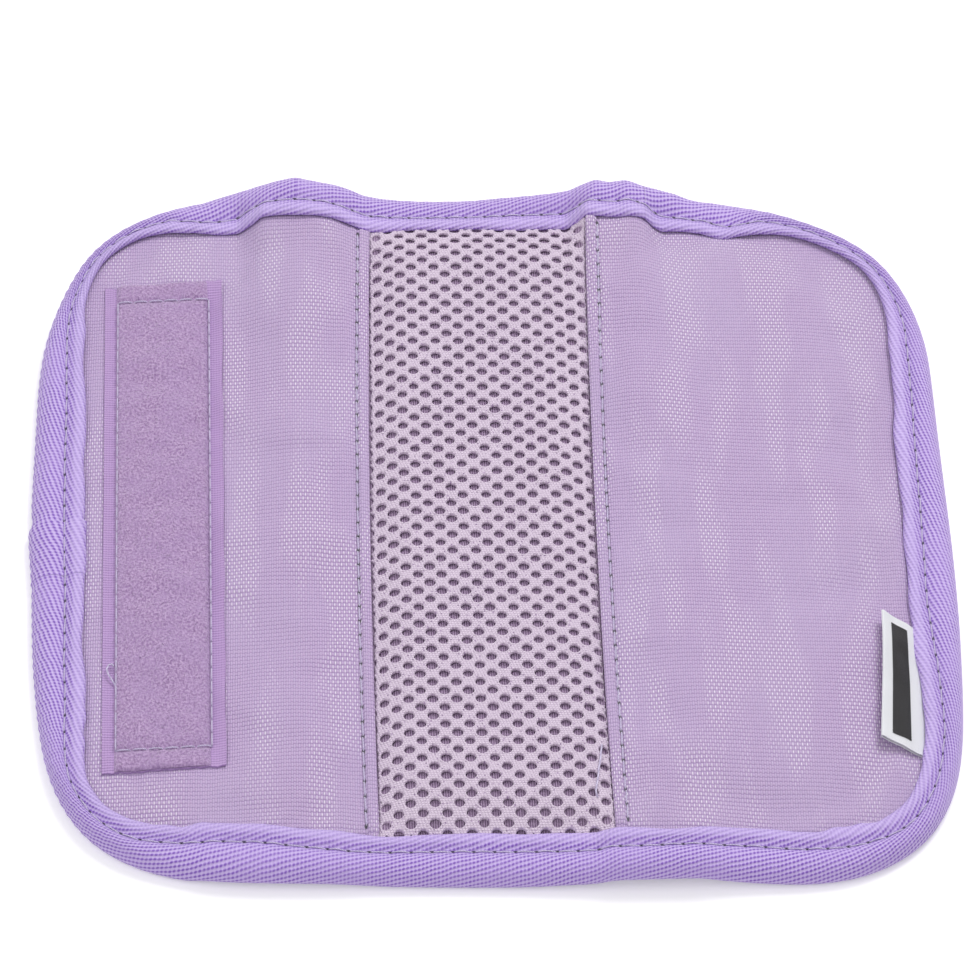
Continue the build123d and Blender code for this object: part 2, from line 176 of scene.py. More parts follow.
def cut_cloth(columns, inset, pitch=cloth_pitch):
    """Grid of cloth over some columns, trimmed to the outline drawn in by inset."""
    rows = np.arange(-70, 71) * pitch * 89 / (70 * pitch)
    x, y = np.meshgrid(columns, rows, indexing="ij")
    points = np.column_stack([x.ravel(), y.ravel()])
    depth, nearest = rim_depth(points)
    inside = (depth >= inset).reshape(x.shape)
    keep = inside[:-1, :-1] & inside[1:, :-1] & inside[:-1, 1:] & inside[1:, 1:]
    index = np.arange(x.size).reshape(x.shape)
    faces = np.stack([index[:-1, :-1], index[1:, :-1], index[1:, 1:], index[:-1, 1:]], -1)[keep]
    uses = np.bincount(faces.ravel(), minlength=x.size).reshape(x.shape)
    trimmed = (uses > 0) & (uses < 4)
    trimmed[[0, -1]] = uses[[0, -1]] == 1
    spot = np.flatnonzero(trimmed)
    drawn = rim[nearest[spot]] + inset * rim_inwards[nearest[spot]]
    ends = (spot < x.shape[1]) | (spot >= x.size - x.shape[1])
    drawn[ends, 0] = points[spot[ends], 0]
    points[spot] = drawn
    used = np.flatnonzero(uses.ravel())
    order = np.full(x.size, -1)
    order[used] = np.arange(len(used))
    return points[used], order[faces], used // x.shape[1]


def grid_faces(shape):
    """Four-sided faces between the points of a grid of this shape."""
    index = np.arange(np.prod(shape)).reshape(shape)
    return np.stack([index[:-1, :-1], index[1:, :-1], index[1:, 1:], index[:-1, 1:]], -1).reshape(-1, 4)


def thicken(piece, thickness, even):
    """Gives the cloth its thickness, downwards from its top."""
    layers = piece.modifiers.new("thickness", "SOLIDIFY")
    layers.thickness = thickness * 0.001
    layers.offset = -1
    layers.use_even_offset = even
    bpy.context.view_layer.update()
    piece.data = bpy.data.meshes.new_from_object(
        piece.evaluated_get(bpy.context.evaluated_depsgraph_get())
    )
    piece.data.name = piece.name
    piece.modifiers.clear()
    piece.data.set_sharp_from_angle(angle=math.radians(50))


def place_on_cloth(mesh, layer_name, places):
    """Writes each point's place on the flat cloth into a layer of the mesh."""
    corners = np.empty(len(mesh.loops), np.int32)
    mesh.loops.foreach_get("vertex_index", corners)
    layer = mesh.uv_layers.new(name=layer_name)
    layer.data.foreach_set("uv", np.asarray(places, np.float32)[corners].ravel())


def make_piece(name, points, faces, cloth=None, thickness=0):
    """Mesh piece from millimetre points. cloth gives each point's place on the flat cloth."""
    mesh = bpy.data.meshes.new(name)
    mesh.from_pydata((np.asarray(points) * 0.001).tolist(), [], [list(map(int, f)) for f in faces])
    if cloth is not None:
        place_on_cloth(mesh, "cloth", cloth)
    mesh.shade_smooth()
    piece = bpy.data.objects.new(name, mesh)
    bpy.context.scene.collection.objects.link(piece)
    if thickness:
        thicken(piece, thickness, even=True)
    return piece


class Finish:
    """A material being built from nodes; each call adds one and gives its first output."""

    def __init__(self, name, colour, roughness, sheen=0.0, gloss=0.5):
        self.material = bpy.data.materials.new(name)
        self.material.use_nodes = True
        self.tree = self.material.node_tree
        self.surface = self.tree.nodes["Principled BSDF"]
        self.surface.inputs["Base Color"].default_value = (*colour, 1)
        self.surface.inputs["Roughness"].default_value = roughness
        self.surface.inputs["Sheen Weight"].default_value = sheen
        self.surface.inputs["Specular IOR Level"].default_value = gloss

    def set(self, socket, value):
        if isinstance(value, bpy.types.NodeSocket):
            self.tree.links.new(value, socket)
        elif hasattr(value, "__len__") and socket.type == "RGBA":
            socket.default_value = (*value, 1)
        else:
            socket.default_value = value

    def node(self, kind, settings=(), **inputs):
        made = self.tree.nodes.new("ShaderNode" + kind)
        for setting, value in dict(settings).items():
            setattr(made, setting, value)
        for socket, value in inputs.items():
            self.set(made.inputs[socket.replace("_", " ")], value)
        return made

    def math(self, operation, a, b=0.0, c=0.0):
        made = self.tree.nodes.new("ShaderNodeMath")
        made.operation = operation
        for socket, value in zip(made.inputs, (a, b, c)):
            self.set(socket, value)
        return made.outputs[0]

    def times(self, a, b):
        return self.math("MULTIPLY", a, b)

    def ridges(self, along, pitch):
        """Rounded ridges, one to each pitch: 0 in the grooves and 1 on top."""
        return self.math("ABSOLUTE", self.math("SINE", self.times(along, math.pi / pitch)))

    def between(self, value, low, high):
        """0 below low, 1 above high, smooth between."""
        made = self.node("MapRange", {"interpolation_type": "SMOOTHSTEP"}, Value=value)
        made.inputs["From Min"].default_value = low
        made.inputs["From Max"].default_value = high
        return made.outputs[0]

    def blend(self, share, a, b):
        made = self.tree.nodes.new("ShaderNodeMix")
        made.data_type = "RGBA"
        for socket, value in zip((made.inputs[0], made.inputs[6], made.inputs[7]), (share, a, b)):
            self.set(socket, value)
        return made.outputs[2]

    def tint(self, tone, mask, share, colour):
        """Adds a colour to the tone where the mask is, up to a share."""
        return self.blend(self.times(mask, share), tone, colour)

    def flat(self):
        """Place on the flat cloth, in millimetres: across and along."""
        spot = self.node("UVMap", {"uv_map": "cloth"}).outputs[0]
        parts = self.node("SeparateXYZ", Vector=spot)
        return spot, parts.outputs[0], parts.outputs[1]

    def cloud(self, spot, scale, detail=2.0, stretch=None):
        """Soft random patches, scale to the millimetre."""
        if stretch is not None:
            spot = self.node("Mapping", Vector=spot, Scale=stretch).outputs[0]
        return self.node("TexNoise", Vector=spot, Scale=scale, Detail=detail).outputs[0]

    def weave(self, across, along, warp, weft):
        """Plain weave: the height of its threads, and where the lengthwise thread is on top."""
        turn = self.times(across, math.pi / warp)
        pass_ = self.times(along, math.pi / weft)
        sine, other = self.math("SINE", turn), self.math("SINE", pass_)
        warp_top = self.between(self.times(sine, other), -0.05, 0.05)
        thread, weft_thread = self.math("ABSOLUTE", sine), self.math("ABSOLUTE", other)
        lengthwise = self.times(thread, self.math("MULTIPLY_ADD", weft_thread, 0.4, 0.6))
        sideways = self.times(weft_thread, self.math("MULTIPLY_ADD", thread, 0.4, 0.6))
        difference = self.math("SUBTRACT", lengthwise, sideways)
        return self.math("MULTIPLY_ADD", difference, warp_top, sideways), warp_top

    def finish(self, colour=None, height=None, depth=0.1, roughness=None, strength=1.0):
        """Connects colour, relief (depth in millimetres) and roughness; gives the material."""
        if colour is not None:
            self.set(self.surface.inputs["Base Color"], colour)
        if roughness is not None:
            self.set(self.surface.inputs["Roughness"], roughness)
        if height is not None:
            relief = self.node("Bump", Height=height, Strength=strength, Distance=depth * 0.001)
            self.set(self.surface.inputs["Normal"], relief.outputs[0])
        return self.material


fold_place = {joint["name"]: joint["pos_m"][0] * 1000 for joint in frame["joints"]}
left_cut = (fold_place["left_wrap_fold"] + fold_place["left_seam_fold"]) / 2
right_cut = (fold_place["right_seam_fold"] + fold_place["right_wrap_fold"]) / 2
middle_cut = (fold_place["left_seam_fold"] + fold_place["right_seam_fold"]) / 2
# Each panel crosses one fold: where it starts and ends, its bodies, its fold, its bend
panels = {
    "left_flap": (left_end - 2, left_cut, "left_outer", "left_inner", "left_wrap_fold", 7),
    "left_seam": (left_cut, middle_cut, "left_inner", "centre", "left_seam_fold", 4.5),
    "right_seam": (middle_cut, right_cut, "centre", "right_inner", "right_seam_fold", 4.5),
    "right_flap": (right_cut, right_end + 2, "right_inner", "right_outer", "right_wrap_fold", 7),
}


def bend_with(piece):
    """Bakes the piece's placement into its mesh; the piece is not bent at its fold."""
    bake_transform(piece)


def even_columns(low, high, pitch=cloth_pitch):
    return np.linspace(low, high, int(round((high - low) / pitch)) + 1)


shell = Finish("shell_weave", shell_colour, 0.62, sheen=0.15, gloss=0.3)
shell_spot, shell_across, shell_along = shell.flat()
shell_height, _ = shell.weave(shell_across, shell_along, 0.5, 0.46)
shell_patches = shell.cloud(shell_spot, 0.09)
shell_tone = shell.blend(shell.between(shell_height, 0.2, 0.95), (0.275, 0.185, 0.405), (0.52, 0.40, 0.66))
shell_tone = shell.tint(shell_tone, shell_patches, 0.35, (0.47, 0.38, 0.62))
shell_weave = shell.finish(shell_tone, shell_height, 0.12)

for panel, (low, high, *_) in panels.items():
    places, faces, _ = cut_cloth(even_columns(low, high), shell_inset)
    level = shell_level + 0.15 + rise(places[:, 0], places[:, 1])
    piece = make_piece(
        f"shell_{panel}", np.column_stack([places, level]), faces, places, shell_cloth_thickness
    )
    piece.data.materials.append(shell_weave)
    bend_with(piece)
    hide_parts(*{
        "left_flap": ("shell_left_outer", "shell_left_inner"),
        "left_seam": ("shell_centre",),
        "right_seam": ("shell_centre",),
        "right_flap": ("shell_right_outer", "shell_right_inner"),
    }[panel])

# ---------------------------------------------------------------- foam padding
# Soft polyurethane foam, cut to the outline and held between the two cloths by the seams,
# the rim and the fastener's stitching. Between those it swells, so its crown is worked out
# as a cloth pushed up from below, and the lining later lies on that crown.
foam_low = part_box("foam_centre")[0].z * 1000
foam_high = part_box("foam_centre")[1].z * 1000
rim_held = 11.5
crown_limit = 2.6
crown_step = 2.0
cloth_frames = 30
foam_inset = 4.0
foam_pitch = 2.5
tape_width, tape_length = 25.0, 127.8
tape_corners = np.array([(-81.2, 63.6), (-56.2, 64.9), (-54.6, -62.8), (-79.4, -64.1)])
tape_stitch_in = 2.8
tape_stitch_end = 5.0
tape_stitch_pitch = 3.3
left_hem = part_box("seam_welt_left")[1].x * 1000
right_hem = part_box("seam_welt_right")[0].x * 1000
hem_width = 2.6


def tape_place(across, along):
    """Plan place of a point on the loop tape: across from its left edge, along from its front."""
    share = np.asarray(along)[..., None] / tape_length
    width = np.asarray(across)[..., None] / tape_width
    back = tape_corners[0] * (1 - width) + tape_corners[1] * width
    front = tape_corners[3] * (1 - width) + tape_corners[2] * width
    return front * (1 - share) + back * share


def hem_edge(side, y):
    """Where the folded edge of the lining lies over the mesh: it bows a little."""
    bow = 0.9 * (1 - (np.asarray(y) / 80.0) ** 2)
    return (left_hem - 0.25 if side == "left" else right_hem - 0.3) - bow


def held_down(points, width):
    """Which points lie on a seam, under the rim, or on the fastener's stitching."""
    x, y = points.T
    held = rim_depth(points)[0] < rim_held
    held |= (x > hem_edge("left", y) - hem_width - width) & (x < hem_edge("right", y) + hem_width + width)
    corners = [
        tape_place(a, b) for a, b in (
            (tape_stitch_in, tape_stitch_end), (tape_width - tape_stitch_in, tape_stitch_end),
            (tape_width - tape_stitch_in, tape_length - tape_stitch_end),
            (tape_stitch_in, tape_length - tape_stitch_end),
        )
    ]
    for start, end in zip(corners, corners[1:] + corners[:1]):
        run = end - start
        share = np.clip(((points - start) @ run) / (run @ run), 0, 1)
        held |= np.linalg.norm(points - start - share[:, None] * run, axis=1) < width
    return held


def swollen_cloth():
    """Crown heights on a 2 mm grid: a cloth held at its stitching and pushed up from below."""
    x, y = np.meshgrid(
        np.arange(-96, 97, crown_step), np.arange(-90, 91, crown_step), indexing="ij"
    )
    points = np.column_stack([x.ravel(), y.ravel()])
    held = held_down(points, 1.2)
    sheet = make_piece("crown_cloth", np.column_stack([points, np.zeros(x.size)]), grid_faces(x.shape))
    sheet.vertex_groups.new(name="held").add(np.flatnonzero(held).tolist(), 1.0, "REPLACE")
    swell = sheet.modifiers.new("swell", "CLOTH")
    swell.settings.quality = 6
    swell.settings.mass = 0.05
    swell.settings.tension_stiffness = 15
    swell.settings.compression_stiffness = 15
    swell.settings.shear_stiffness = 5
    swell.settings.bending_stiffness = 0.1
    swell.settings.vertex_group_mass = "held"
    swell.settings.shrink_min = -0.018
    swell.settings.use_pressure = True
    swell.settings.uniform_pressure_force = 3.0
    swell.settings.effector_weights.gravity = 0
    swell.point_cache.frame_end = cloth_frames
    for step in range(1, cloth_frames + 1):
        bpy.context.scene.frame_set(step)
    seen = sheet.evaluated_get(bpy.context.evaluated_depsgraph_get())
    heights = np.array([v.co.z for v in seen.data.vertices]).reshape(x.shape) * 1000
    bpy.context.scene.frame_set(1)
    bpy.data.objects.remove(sheet)
    return x[:, 0], y[0], heights


crown_x, crown_y, crown_heights = swollen_cloth()
crown_heights = crown_limit * np.tanh(np.maximum(crown_heights, 0) / crown_limit)


def crown(x, y):
    """Height of the swollen padding at any place, smooth between the grid's points."""
    total = np.zeros(np.shape(x))
    u = (np.asarray(x) - crown_x[0]) / crown_step
    v = (np.asarray(y) - crown_y[0]) / crown_step
    i, j = np.floor(u).astype(int), np.floor(v).astype(int)
    u, v = u - i, v - j

    def weights(t):
        return (
            (1 - t) ** 3 / 6, (3 * t**3 - 6 * t**2 + 4) / 6,
            (-3 * t**3 + 3 * t**2 + 3 * t + 1) / 6, t**3 / 6,
        )

    for di, wu in zip((-1, 0, 1, 2), weights(u)):
        for dj, wv in zip((-1, 0, 1, 2), weights(v)):
            rows = np.clip(i + di, 0, len(crown_x) - 1)
            columns = np.clip(j + dj, 0, len(crown_y) - 1)
            total += wu * wv * crown_heights[rows, columns]
    return total


foam = Finish("foam_cells", (0.80, 0.78, 0.74), 0.9, sheen=0.0, gloss=0.2)
foam_spot, *_ = foam.flat()
foam_cell = foam.node("TexVoronoi", {"feature": "DISTANCE_TO_EDGE"}, Vector=foam_spot, Scale=1.6)
foam_cells = foam.finish(
    foam.blend(foam.between(foam_cell.outputs[0], 0.0, 0.25), (0.62, 0.59, 0.54), (0.84, 0.82, 0.78)),
    foam_cell.outputs[0], 0.2,
)

for panel, (low, high, *_) in panels.items():
    places, faces, _ = cut_cloth(even_columns(low, high, foam_pitch), foam_inset, foam_pitch)
    x, y = places.T
    under_rim = 0.35 * (1 - ease((rim_depth(places)[0] - 8) / 4))
    top = foam_high + rise(x, y) + 0.85 * crown(x, y) - under_rim
    thickness = foam_high - foam_low + 0.85 * crown(x, y) - under_rim
    under = len(places)
    border = [e for e, n in zip(*np.unique(
        np.sort(np.vstack([faces[:, [a, (a + 1) % 4]] for a in range(4)]), axis=1), axis=0, return_counts=True
    )) if n == 1]
    ways = {(int(f[a]), int(f[(a + 1) % 4])) for f in faces for a in range(4)}
    sides = [
        (b, a, a + under, b + under) if (a, b) in ways else (a, b, b + under, a + under)
        for a, b in (map(int, e) for e in border)
    ]
    both_places = np.vstack([places, places])
    piece = make_piece(
        f"foam_{panel}",
        np.column_stack([both_places, np.concatenate([top, top - thickness])]),
        [tuple(f) for f in faces] + [tuple(f[::-1] + under) for f in faces] + sides,
        both_places,
    )
    piece.data.materials.append(foam_cells)
    bend_with(piece)
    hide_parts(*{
        "left_flap": ("foam_left_outer", "foam_left_inner"),
        "left_seam": ("foam_centre",),
        "right_seam": ("foam_centre",),
        "right_flap": ("foam_right_outer", "foam_right_inner"),
    }[panel])

# ------------------------------------------------------------------ air mesh
# A warp-knitted spacer fabric over the middle of the pad: a plain back knit, springy yarns
# that hold the faces apart, and an open top knit with rows of oval holes, each row set half
# a hole on. It is drawn down under the folded edges of the lining and under the binding.
mesh_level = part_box("mesh_face")[0].z * 1000
mesh_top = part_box("mesh_face")[1].z * 1000
mesh_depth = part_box("mesh_face")[1].y * 1000
mesh_middle = (left_hem + right_hem) / 2
hole_pitch_across = 4.85
hole_pitch_along = 4.18
hole_across = 2.2
hole_along = 2.0
knit_thickness = 0.75
ground_pitch = 1.4
ground_inset = 3.4
ground_thickness = 0.3
ground_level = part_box("mesh_ground")[1].z * 1000


def mesh_height(x, y):
    """Height of the open knit: highest along its middle, drawn down at all four edges."""
    left, right = hem_edge("left", y), hem_edge("right", y)
    side = np.clip(np.minimum(x - left, right - x) / 9.0, -0.35, 1)
    end = np.clip((mesh_depth + 0.8 - np.abs(y)) / 15.0, -0.1, 1)
    swell = (1 - (1 - side) ** 2.2 * np.where(side < 0, 1.6, 1)) * (1 - (1 - end) ** 2.3)
    wave = 0.12 * np.sin(x / 6.1 + 0.7) * np.sin(y / 8.3) + 0.1 * np.sin(x / 11 - y / 13 + 1.1)
    return mesh_level + 0.35 + rise(x, y) + (mesh_top - mesh_level - 0.25) * swell + wave


ground = Finish("mesh_back_knit", (0.30, 0.205, 0.345), 0.75, gloss=0.2)
_, ground_across, ground_along = ground.flat()
ground_height, _ = ground.weave(ground_across, ground_along, 0.55, 0.7)
back_knit = ground.finish(
    ground.blend(ground_height, (0.30, 0.20, 0.34), (0.42, 0.30, 0.46)), ground_height, 0.15
)
for panel in ("left_seam", "right_seam"):
    low, high = panels[panel][:2]
    if panel == "left_seam":
        low = fold_place["left_seam_fold"] + 0.2
    else:
        high = fold_place["right_seam_fold"] - 0.2
    places, faces, _ = cut_cloth(even_columns(low, high, ground_pitch), ground_inset)
    under_rim = 0.3 * (1 - ease((rim_depth(places)[0] - 8) / 4))
    level = ground_level + rise(*places.T) - under_rim
    piece = make_piece(
        f"mesh_ground_{panel}", np.column_stack([places, level]), faces, places, ground_thickness
    )
    piece.data.materials.append(back_knit)
    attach(piece, "centre")
    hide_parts("mesh_ground")

yarn = Finish("spacer_yarn", (0.33, 0.24, 0.37), 0.6, gloss=0.35)
yarn_spot, yarn_across, yarn_along = yarn.flat()
yarn_rib = yarn.ridges(yarn_across, 0.52)
yarn_cross = yarn.ridges(yarn_along, 0.8)
yarn_height = yarn.math("MULTIPLY_ADD", yarn_cross, 0.3, yarn_rib)
yarn_speck = yarn.cloud(yarn_spot, 2.2, 3.0)
yarn_tone = yarn.blend(yarn.between(yarn_height, 0.25, 1.15), (0.29, 0.195, 0.33), (0.46, 0.335, 0.50))
yarn_tone = yarn.blend(yarn.between(yarn_speck, 0.55, 0.75), yarn_tone, (0.52, 0.41, 0.56))
spacer_yarn = yarn.finish(yarn_tone, yarn_height, 0.25)

yarn_x, yarn_y = np.meshgrid(
    np.linspace(-1, 1, 47), np.linspace(-mesh_depth + 0.5, mesh_depth - 0.5, 159), indexing="ij"
)
hem_left, hem_right = hem_edge("left", yarn_y) - 1.2, hem_edge("right", yarn_y) + 1.2
yarn_x = (hem_left + hem_right) / 2 + yarn_x * (hem_right - hem_left) / 2
yarn_top = np.maximum(
    mesh_height(yarn_x, yarn_y) - knit_thickness - 0.25, ground_level + rise(yarn_x, yarn_y) + 0.12
)
yarn_low = ground_level + 0.04 + rise(yarn_x, yarn_y)
layer = yarn_x.size
index = np.arange(layer).reshape(yarn_x.shape)
top_faces = grid_faces(yarn_x.shape)
ring = np.concatenate([index[:-1, 0], index[-1, :-1], index[:0:-1, -1], index[0, :0:-1]])
walls = np.stack([np.roll(ring, -1), ring, ring + layer, np.roll(ring, -1) + layer], -1)
yarn_places = np.column_stack([yarn_x.ravel(), yarn_y.ravel()])
spacer = make_piece(
    "mesh_spacer_yarns",
    np.vstack([
        np.column_stack([yarn_places, yarn_top.ravel()]), np.column_stack([yarn_places, yarn_low.ravel()])
    ]),
    np.vstack([top_faces, top_faces[:, ::-1] + layer, walls[:, ::-1]]),
    np.vstack([yarn_places, yarn_places]),
)
spacer.data.materials.append(spacer_yarn)
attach(spacer, "centre")
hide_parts("mesh_spacer")

# The open knit, one rhombus of knit round each hole, with a rolled lip and a wall going down
cell_steps = 4
corner = np.array([(1, 0), (0, 1), (-1, 0), (0, -1), (1, 0)], float) * (
    hole_pitch_across / 2, hole_pitch_along / 2
)
cell_edge = np.vstack([
    corner[k] + (corner[k + 1] - corner[k]) * step / cell_steps
    for k in range(4) for step in range(cell_steps)
])
bearing = np.arctan2(cell_edge[:, 1] / hole_along, cell_edge[:, 0] / hole_across)
around = np.column_stack([np.cos(bearing), np.sin(bearing)])
rows = np.arange(-40, 41)
columns = np.arange(-7, 8)
knit_points, knit_faces, knit_cloth = [], [], []
corner_of = {}
points_in_all = 0
for row in rows:
    for column in columns:
        centre = np.array([
            mesh_middle - 0.4 + (column + 0.5 * (row % 2)) * hole_pitch_across,
            row * hole_pitch_along / 2,
        ])
        left, right = hem_edge("left", centre[1]), hem_edge("right", centre[1])
        if not (left - 2.6 < centre[0] < right + 2.6 and abs(centre[1]) < mesh_depth + 1.2):
            continue
        chance = math.sin(row * 12.9898 + column * 78.233) * 43758.5453
        chance -= math.floor(chance)
        near_side = min(1.0, max(0.0, min(centre[0] - left, right - centre[0]) / 5))
        half = np.array([hole_across * (0.84 + 0.16 * near_side), hole_along]) / 2 * (0.93 + 0.14 * chance)
        slant = 0.16 * (1 - near_side) * np.sign(mesh_middle - centre[0])
        oval = around * half
        oval[:, 0] += slant * oval[:, 1]
        rings = [
            (cell_edge, -0.02), (oval * 1.36 + cell_edge * 0.06, 0.10), (oval * 1.12, 0.03),
            (oval, -0.16), (oval * 1.03, -knit_thickness),
        ]
        names = []
        for number, (shape, drop) in enumerate(rings):
            spots = centre + shape
            level = mesh_height(spots[:, 0], spots[:, 1]) + drop
            for spot, height in zip(spots, level):
                key = (round(spot[0], 2), round(spot[1], 2)) if number == 0 else None
                if key is not None and key in corner_of:
                    names.append(corner_of[key])
                    continue
                if key is not None:
                    corner_of[key] = points_in_all
                names.append(points_in_all)
                knit_points.append((spot[0], spot[1], height))
                knit_cloth.append(spot)
                points_in_all += 1
        count = len(cell_edge)
        for number in range(len(rings) - 1):
            for k in range(count):
                following = (k + 1) % count
                knit_faces.append((
                    names[number * count + k], names[number * count + following],
                    names[(number + 1) * count + following], names[(number + 1) * count + k],
                ))
mesh_face = make_piece("mesh_open_knit", knit_points, knit_faces, knit_cloth)

knit = Finish("mesh_top_knit", (0.66, 0.575, 0.70), 0.72, sheen=0.25, gloss=0.25)
knit_spot, knit_across, knit_along = knit.flat()
course = knit.ridges(knit_along, 0.5)
wale_turn = knit.math("MULTIPLY_ADD", knit_along, 0.35, knit_across)
wale = knit.ridges(wale_turn, 0.62)
loops = knit.times(knit.math("POWER", course, 0.6), knit.math("POWER", wale, 0.6))
fuzz = knit.cloud(knit_spot, 2.6, 3.0)
pins = knit.node("TexVoronoi", {"feature": "F1"}, Vector=knit_spot, Scale=1.15, Randomness=0.75)
pin_holes = knit.between(pins.outputs["Distance"], 0.12, 0.26)
knit_tone = knit.blend(knit.between(loops, 0.15, 0.9), (0.57, 0.44, 0.61), (0.78, 0.665, 0.80))
knit_tone = knit.blend(knit.between(fuzz, 0.3, 0.7), knit_tone, (0.72, 0.60, 0.74))
knit_tone = knit.blend(pin_holes, (0.40, 0.27, 0.46), knit_tone)
mesh_face.data.materials.append(knit.finish(
    knit_tone, knit.math("MULTIPLY_ADD", pin_holes, 0.7, loops), 0.14
))
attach(mesh_face, "centre")
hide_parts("mesh_face")

# -------------------------------------------------------------------- lining
# Fine plain-woven polyester over both flaps. Beside the mesh its edge is folded under and
# lies over the knit, and a row of topstitching holds it. Its other edges are in the binding.
lining_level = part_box("lining_left_outer")[1].z * 1000
lining_thickness = 0.3
lining_inset = 2.2
hem_lift = 1.0
topstitch_pitch = 3.6
hem_length = 4.6


def lining_height(x, y, depth=None):
    """Height of the lining's top: on the crown of the padding, lower under the binding."""
    if depth is None:
        depth = rim_depth(np.column_stack([np.ravel(x), np.ravel(y)]))[0].reshape(np.shape(x))
    under_rim = 0.3 * (1 - ease((depth - 8.6) / 3.2))
    drag = 0.10 * np.sin(x / 2.9 + y / 9.0 + 1.5 * np.sin(y / 21.0)) * np.exp(-((depth - 13) / 5) ** 2)
    return lining_level + rise(x, y) + crown(x, y) - under_rim + drag


def hem_section(side, y, past):
    """Across the folded edge: past is how far a point of the cloth is beyond the topstitch.
    Gives its x and its height over the lining: up the fold, round it and back under."""
    edge = hem_edge(side, y)
    outwards = -1 if side == "left" else 1
    stitch = edge + outwards * hem_width
    radius = 0.5
    flat = hem_width - radius
    top = 0.25 + hem_lift * ease((past + 0.6) / 1.6)
    turn = np.clip((past - flat) / radius, 0, math.pi)
    back = np.maximum(past - flat - math.pi * radius, 0)
    reach = np.where(past < flat, past, flat + radius * np.sin(turn) - back)
    height = top - radius * (1 - np.cos(turn))
    tug = 0.75 + 0.25 * np.cos(2 * math.pi * y / topstitch_pitch)
    stitched = 0.45 * np.exp(-((past / 0.45) ** 2)) * tug
    return stitch - outwards * reach, height - stitched


lining = Finish("lining_weave", (0.52, 0.40, 0.63), 0.5, sheen=0.2, gloss=0.45)
lining_spot, lining_across, lining_along = lining.flat()
lining_threads, lining_warp = lining.weave(lining_across, lining_along, 0.49, 0.93)
broad = lining.cloud(lining_spot, 0.045, 3.0, stretch=(1.0, 0.55, 1.0))
fine = lining.cloud(lining_spot, 0.9, 4.0)
# Painted highlights: a slanting band mask that marks where glints are painted on the lining
painted_glint_band = lining.cloud(
    lining.node("Mapping", Vector=lining_spot, Rotation=(0, 0, 0.55), Scale=(2.2, 0.55, 1.0)).outputs[0],
    0.055, 1.5,
)
lining_tone = lining.blend(
    lining.between(lining_threads, 0.05, 0.62), (0.27, 0.16, 0.40), (0.56, 0.405, 0.655)
)
lining_tone = lining.tint(lining_tone, lining_warp, 0.30, (0.62, 0.515, 0.74))
lining_tone = lining.tint(lining_tone, lining.between(broad, 0.35, 0.7), 0.3, (0.54, 0.43, 0.67))
lining_tone = lining.tint(lining_tone, lining.between(fine, 0.45, 0.7), 0.25, (0.60, 0.44, 0.66))
# Painted highlight: near-white glints painted on the tops of the lengthwise floats inside those bands
painted_glint_floats = lining.times(lining_warp, lining.between(lining_threads, 0.72, 0.95))
glint = lining.times(painted_glint_floats, lining.between(painted_glint_band, 0.44, 0.60))
lining_tone = lining.tint(lining_tone, glint, 0.85, (0.97, 0.92, 0.99))
# Painted shade: the needle holes of the topstitching are painted near-black for the shade inside them
needle_spot = lining.node("UVMap", {"uv_map": "needle"}).outputs[0]
needle_parts = lining.node("SeparateXYZ", Vector=needle_spot)
row_turn = lining.math(
    "FRACT", lining.math("MULTIPLY_ADD", needle_parts.outputs[1], 1 / topstitch_pitch, 200.0)
)
from_hole = lining.math("ABSOLUTE", lining.math("SUBTRACT", row_turn, 0.5))
hole_near = lining.node(
    "CombineXYZ", X=lining.times(needle_parts.outputs[0], 2.1),
    Y=lining.times(from_hole, topstitch_pitch * 1.05),
)
hole_reach = lining.node("VectorMath", {"operation": "LENGTH"}, Vector=hole_near.outputs[0]).outputs["Value"]
painted_shade_needle_hole = lining.between(hole_reach, 0.45, 0.95)
lining_tone = lining.blend(painted_shade_needle_hole, (0.060, 0.055, 0.075), lining_tone)
lining_weave = lining.finish(
    lining_tone, lining.math("MULTIPLY_ADD", painted_shade_needle_hole, 0.8, lining_threads), 0.17
)

for panel, (low, high, *_) in panels.items():
    side = panel.split("_")[0]
    if panel == "left_flap":
        cloth_columns = even_columns(low + 1.5, high)
    elif panel == "right_flap":
        cloth_columns = even_columns(low, high - 1.5)
    elif side == "left":
        cloth_columns = np.concatenate([
            even_columns(low, left_hem - 3.9), np.arange(left_hem - 3.5, left_hem - 3.4 + hem_length, 0.3)
        ])
    else:
        cloth_columns = np.concatenate([
            np.arange(right_hem + 3.4 - hem_length, right_hem + 3.5, 0.3), even_columns(right_hem + 3.9, high)
        ])
    places, faces, _ = cut_cloth(cloth_columns, lining_inset)
    x, y = places.T
    if panel.endswith("flap"):
        seat, needle_across = x, np.full(len(x), 9.0)
        lift = 0 * x
    else:
        outwards = -1 if side == "left" else 1
        stitch = hem_edge(side, y) + outwards * hem_width
        past = outwards * (stitch - x)
        hem_x, lift = hem_section(side, y, past)
        fade = ease((past + 3.0) / 2.2)
        seat = np.where(past > -3.0, fade * hem_x + (1 - fade) * x, x)
        lift = lift * ease((past + 2.4) / 2.4)
        needle_across = past
    depth = rim_depth(np.column_stack([seat, y]))[0]
    level = lining_height(seat, y, depth) + lift * ease((depth - 9.4) / 2.0)
    piece = make_piece(f"lining_{panel}", np.column_stack([seat, y, level]), faces, places)
    place_on_cloth(piece.data, "needle", np.column_stack([needle_across, y]))
    thicken(piece, lining_thickness, even=False)
    piece.data.materials.append(lining_weave)
    bend_with(piece)
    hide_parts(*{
        "left_flap": ("lining_left_outer", "lining_left_inner"),
        "left_seam": ("seam_welt_left",),
        "right_seam": ("seam_welt_right",),
        "right_flap": ("lining_right_outer", "lining_right_inner"),
    }[panel])

# ---------------------------------------------------------- topstitching thread
# Thin polyester thread in a lockstitch along each folded edge: each stitch comes up through
# one needle hole, lies a little slantwise and goes down through the next.
thread_radius = 0.17


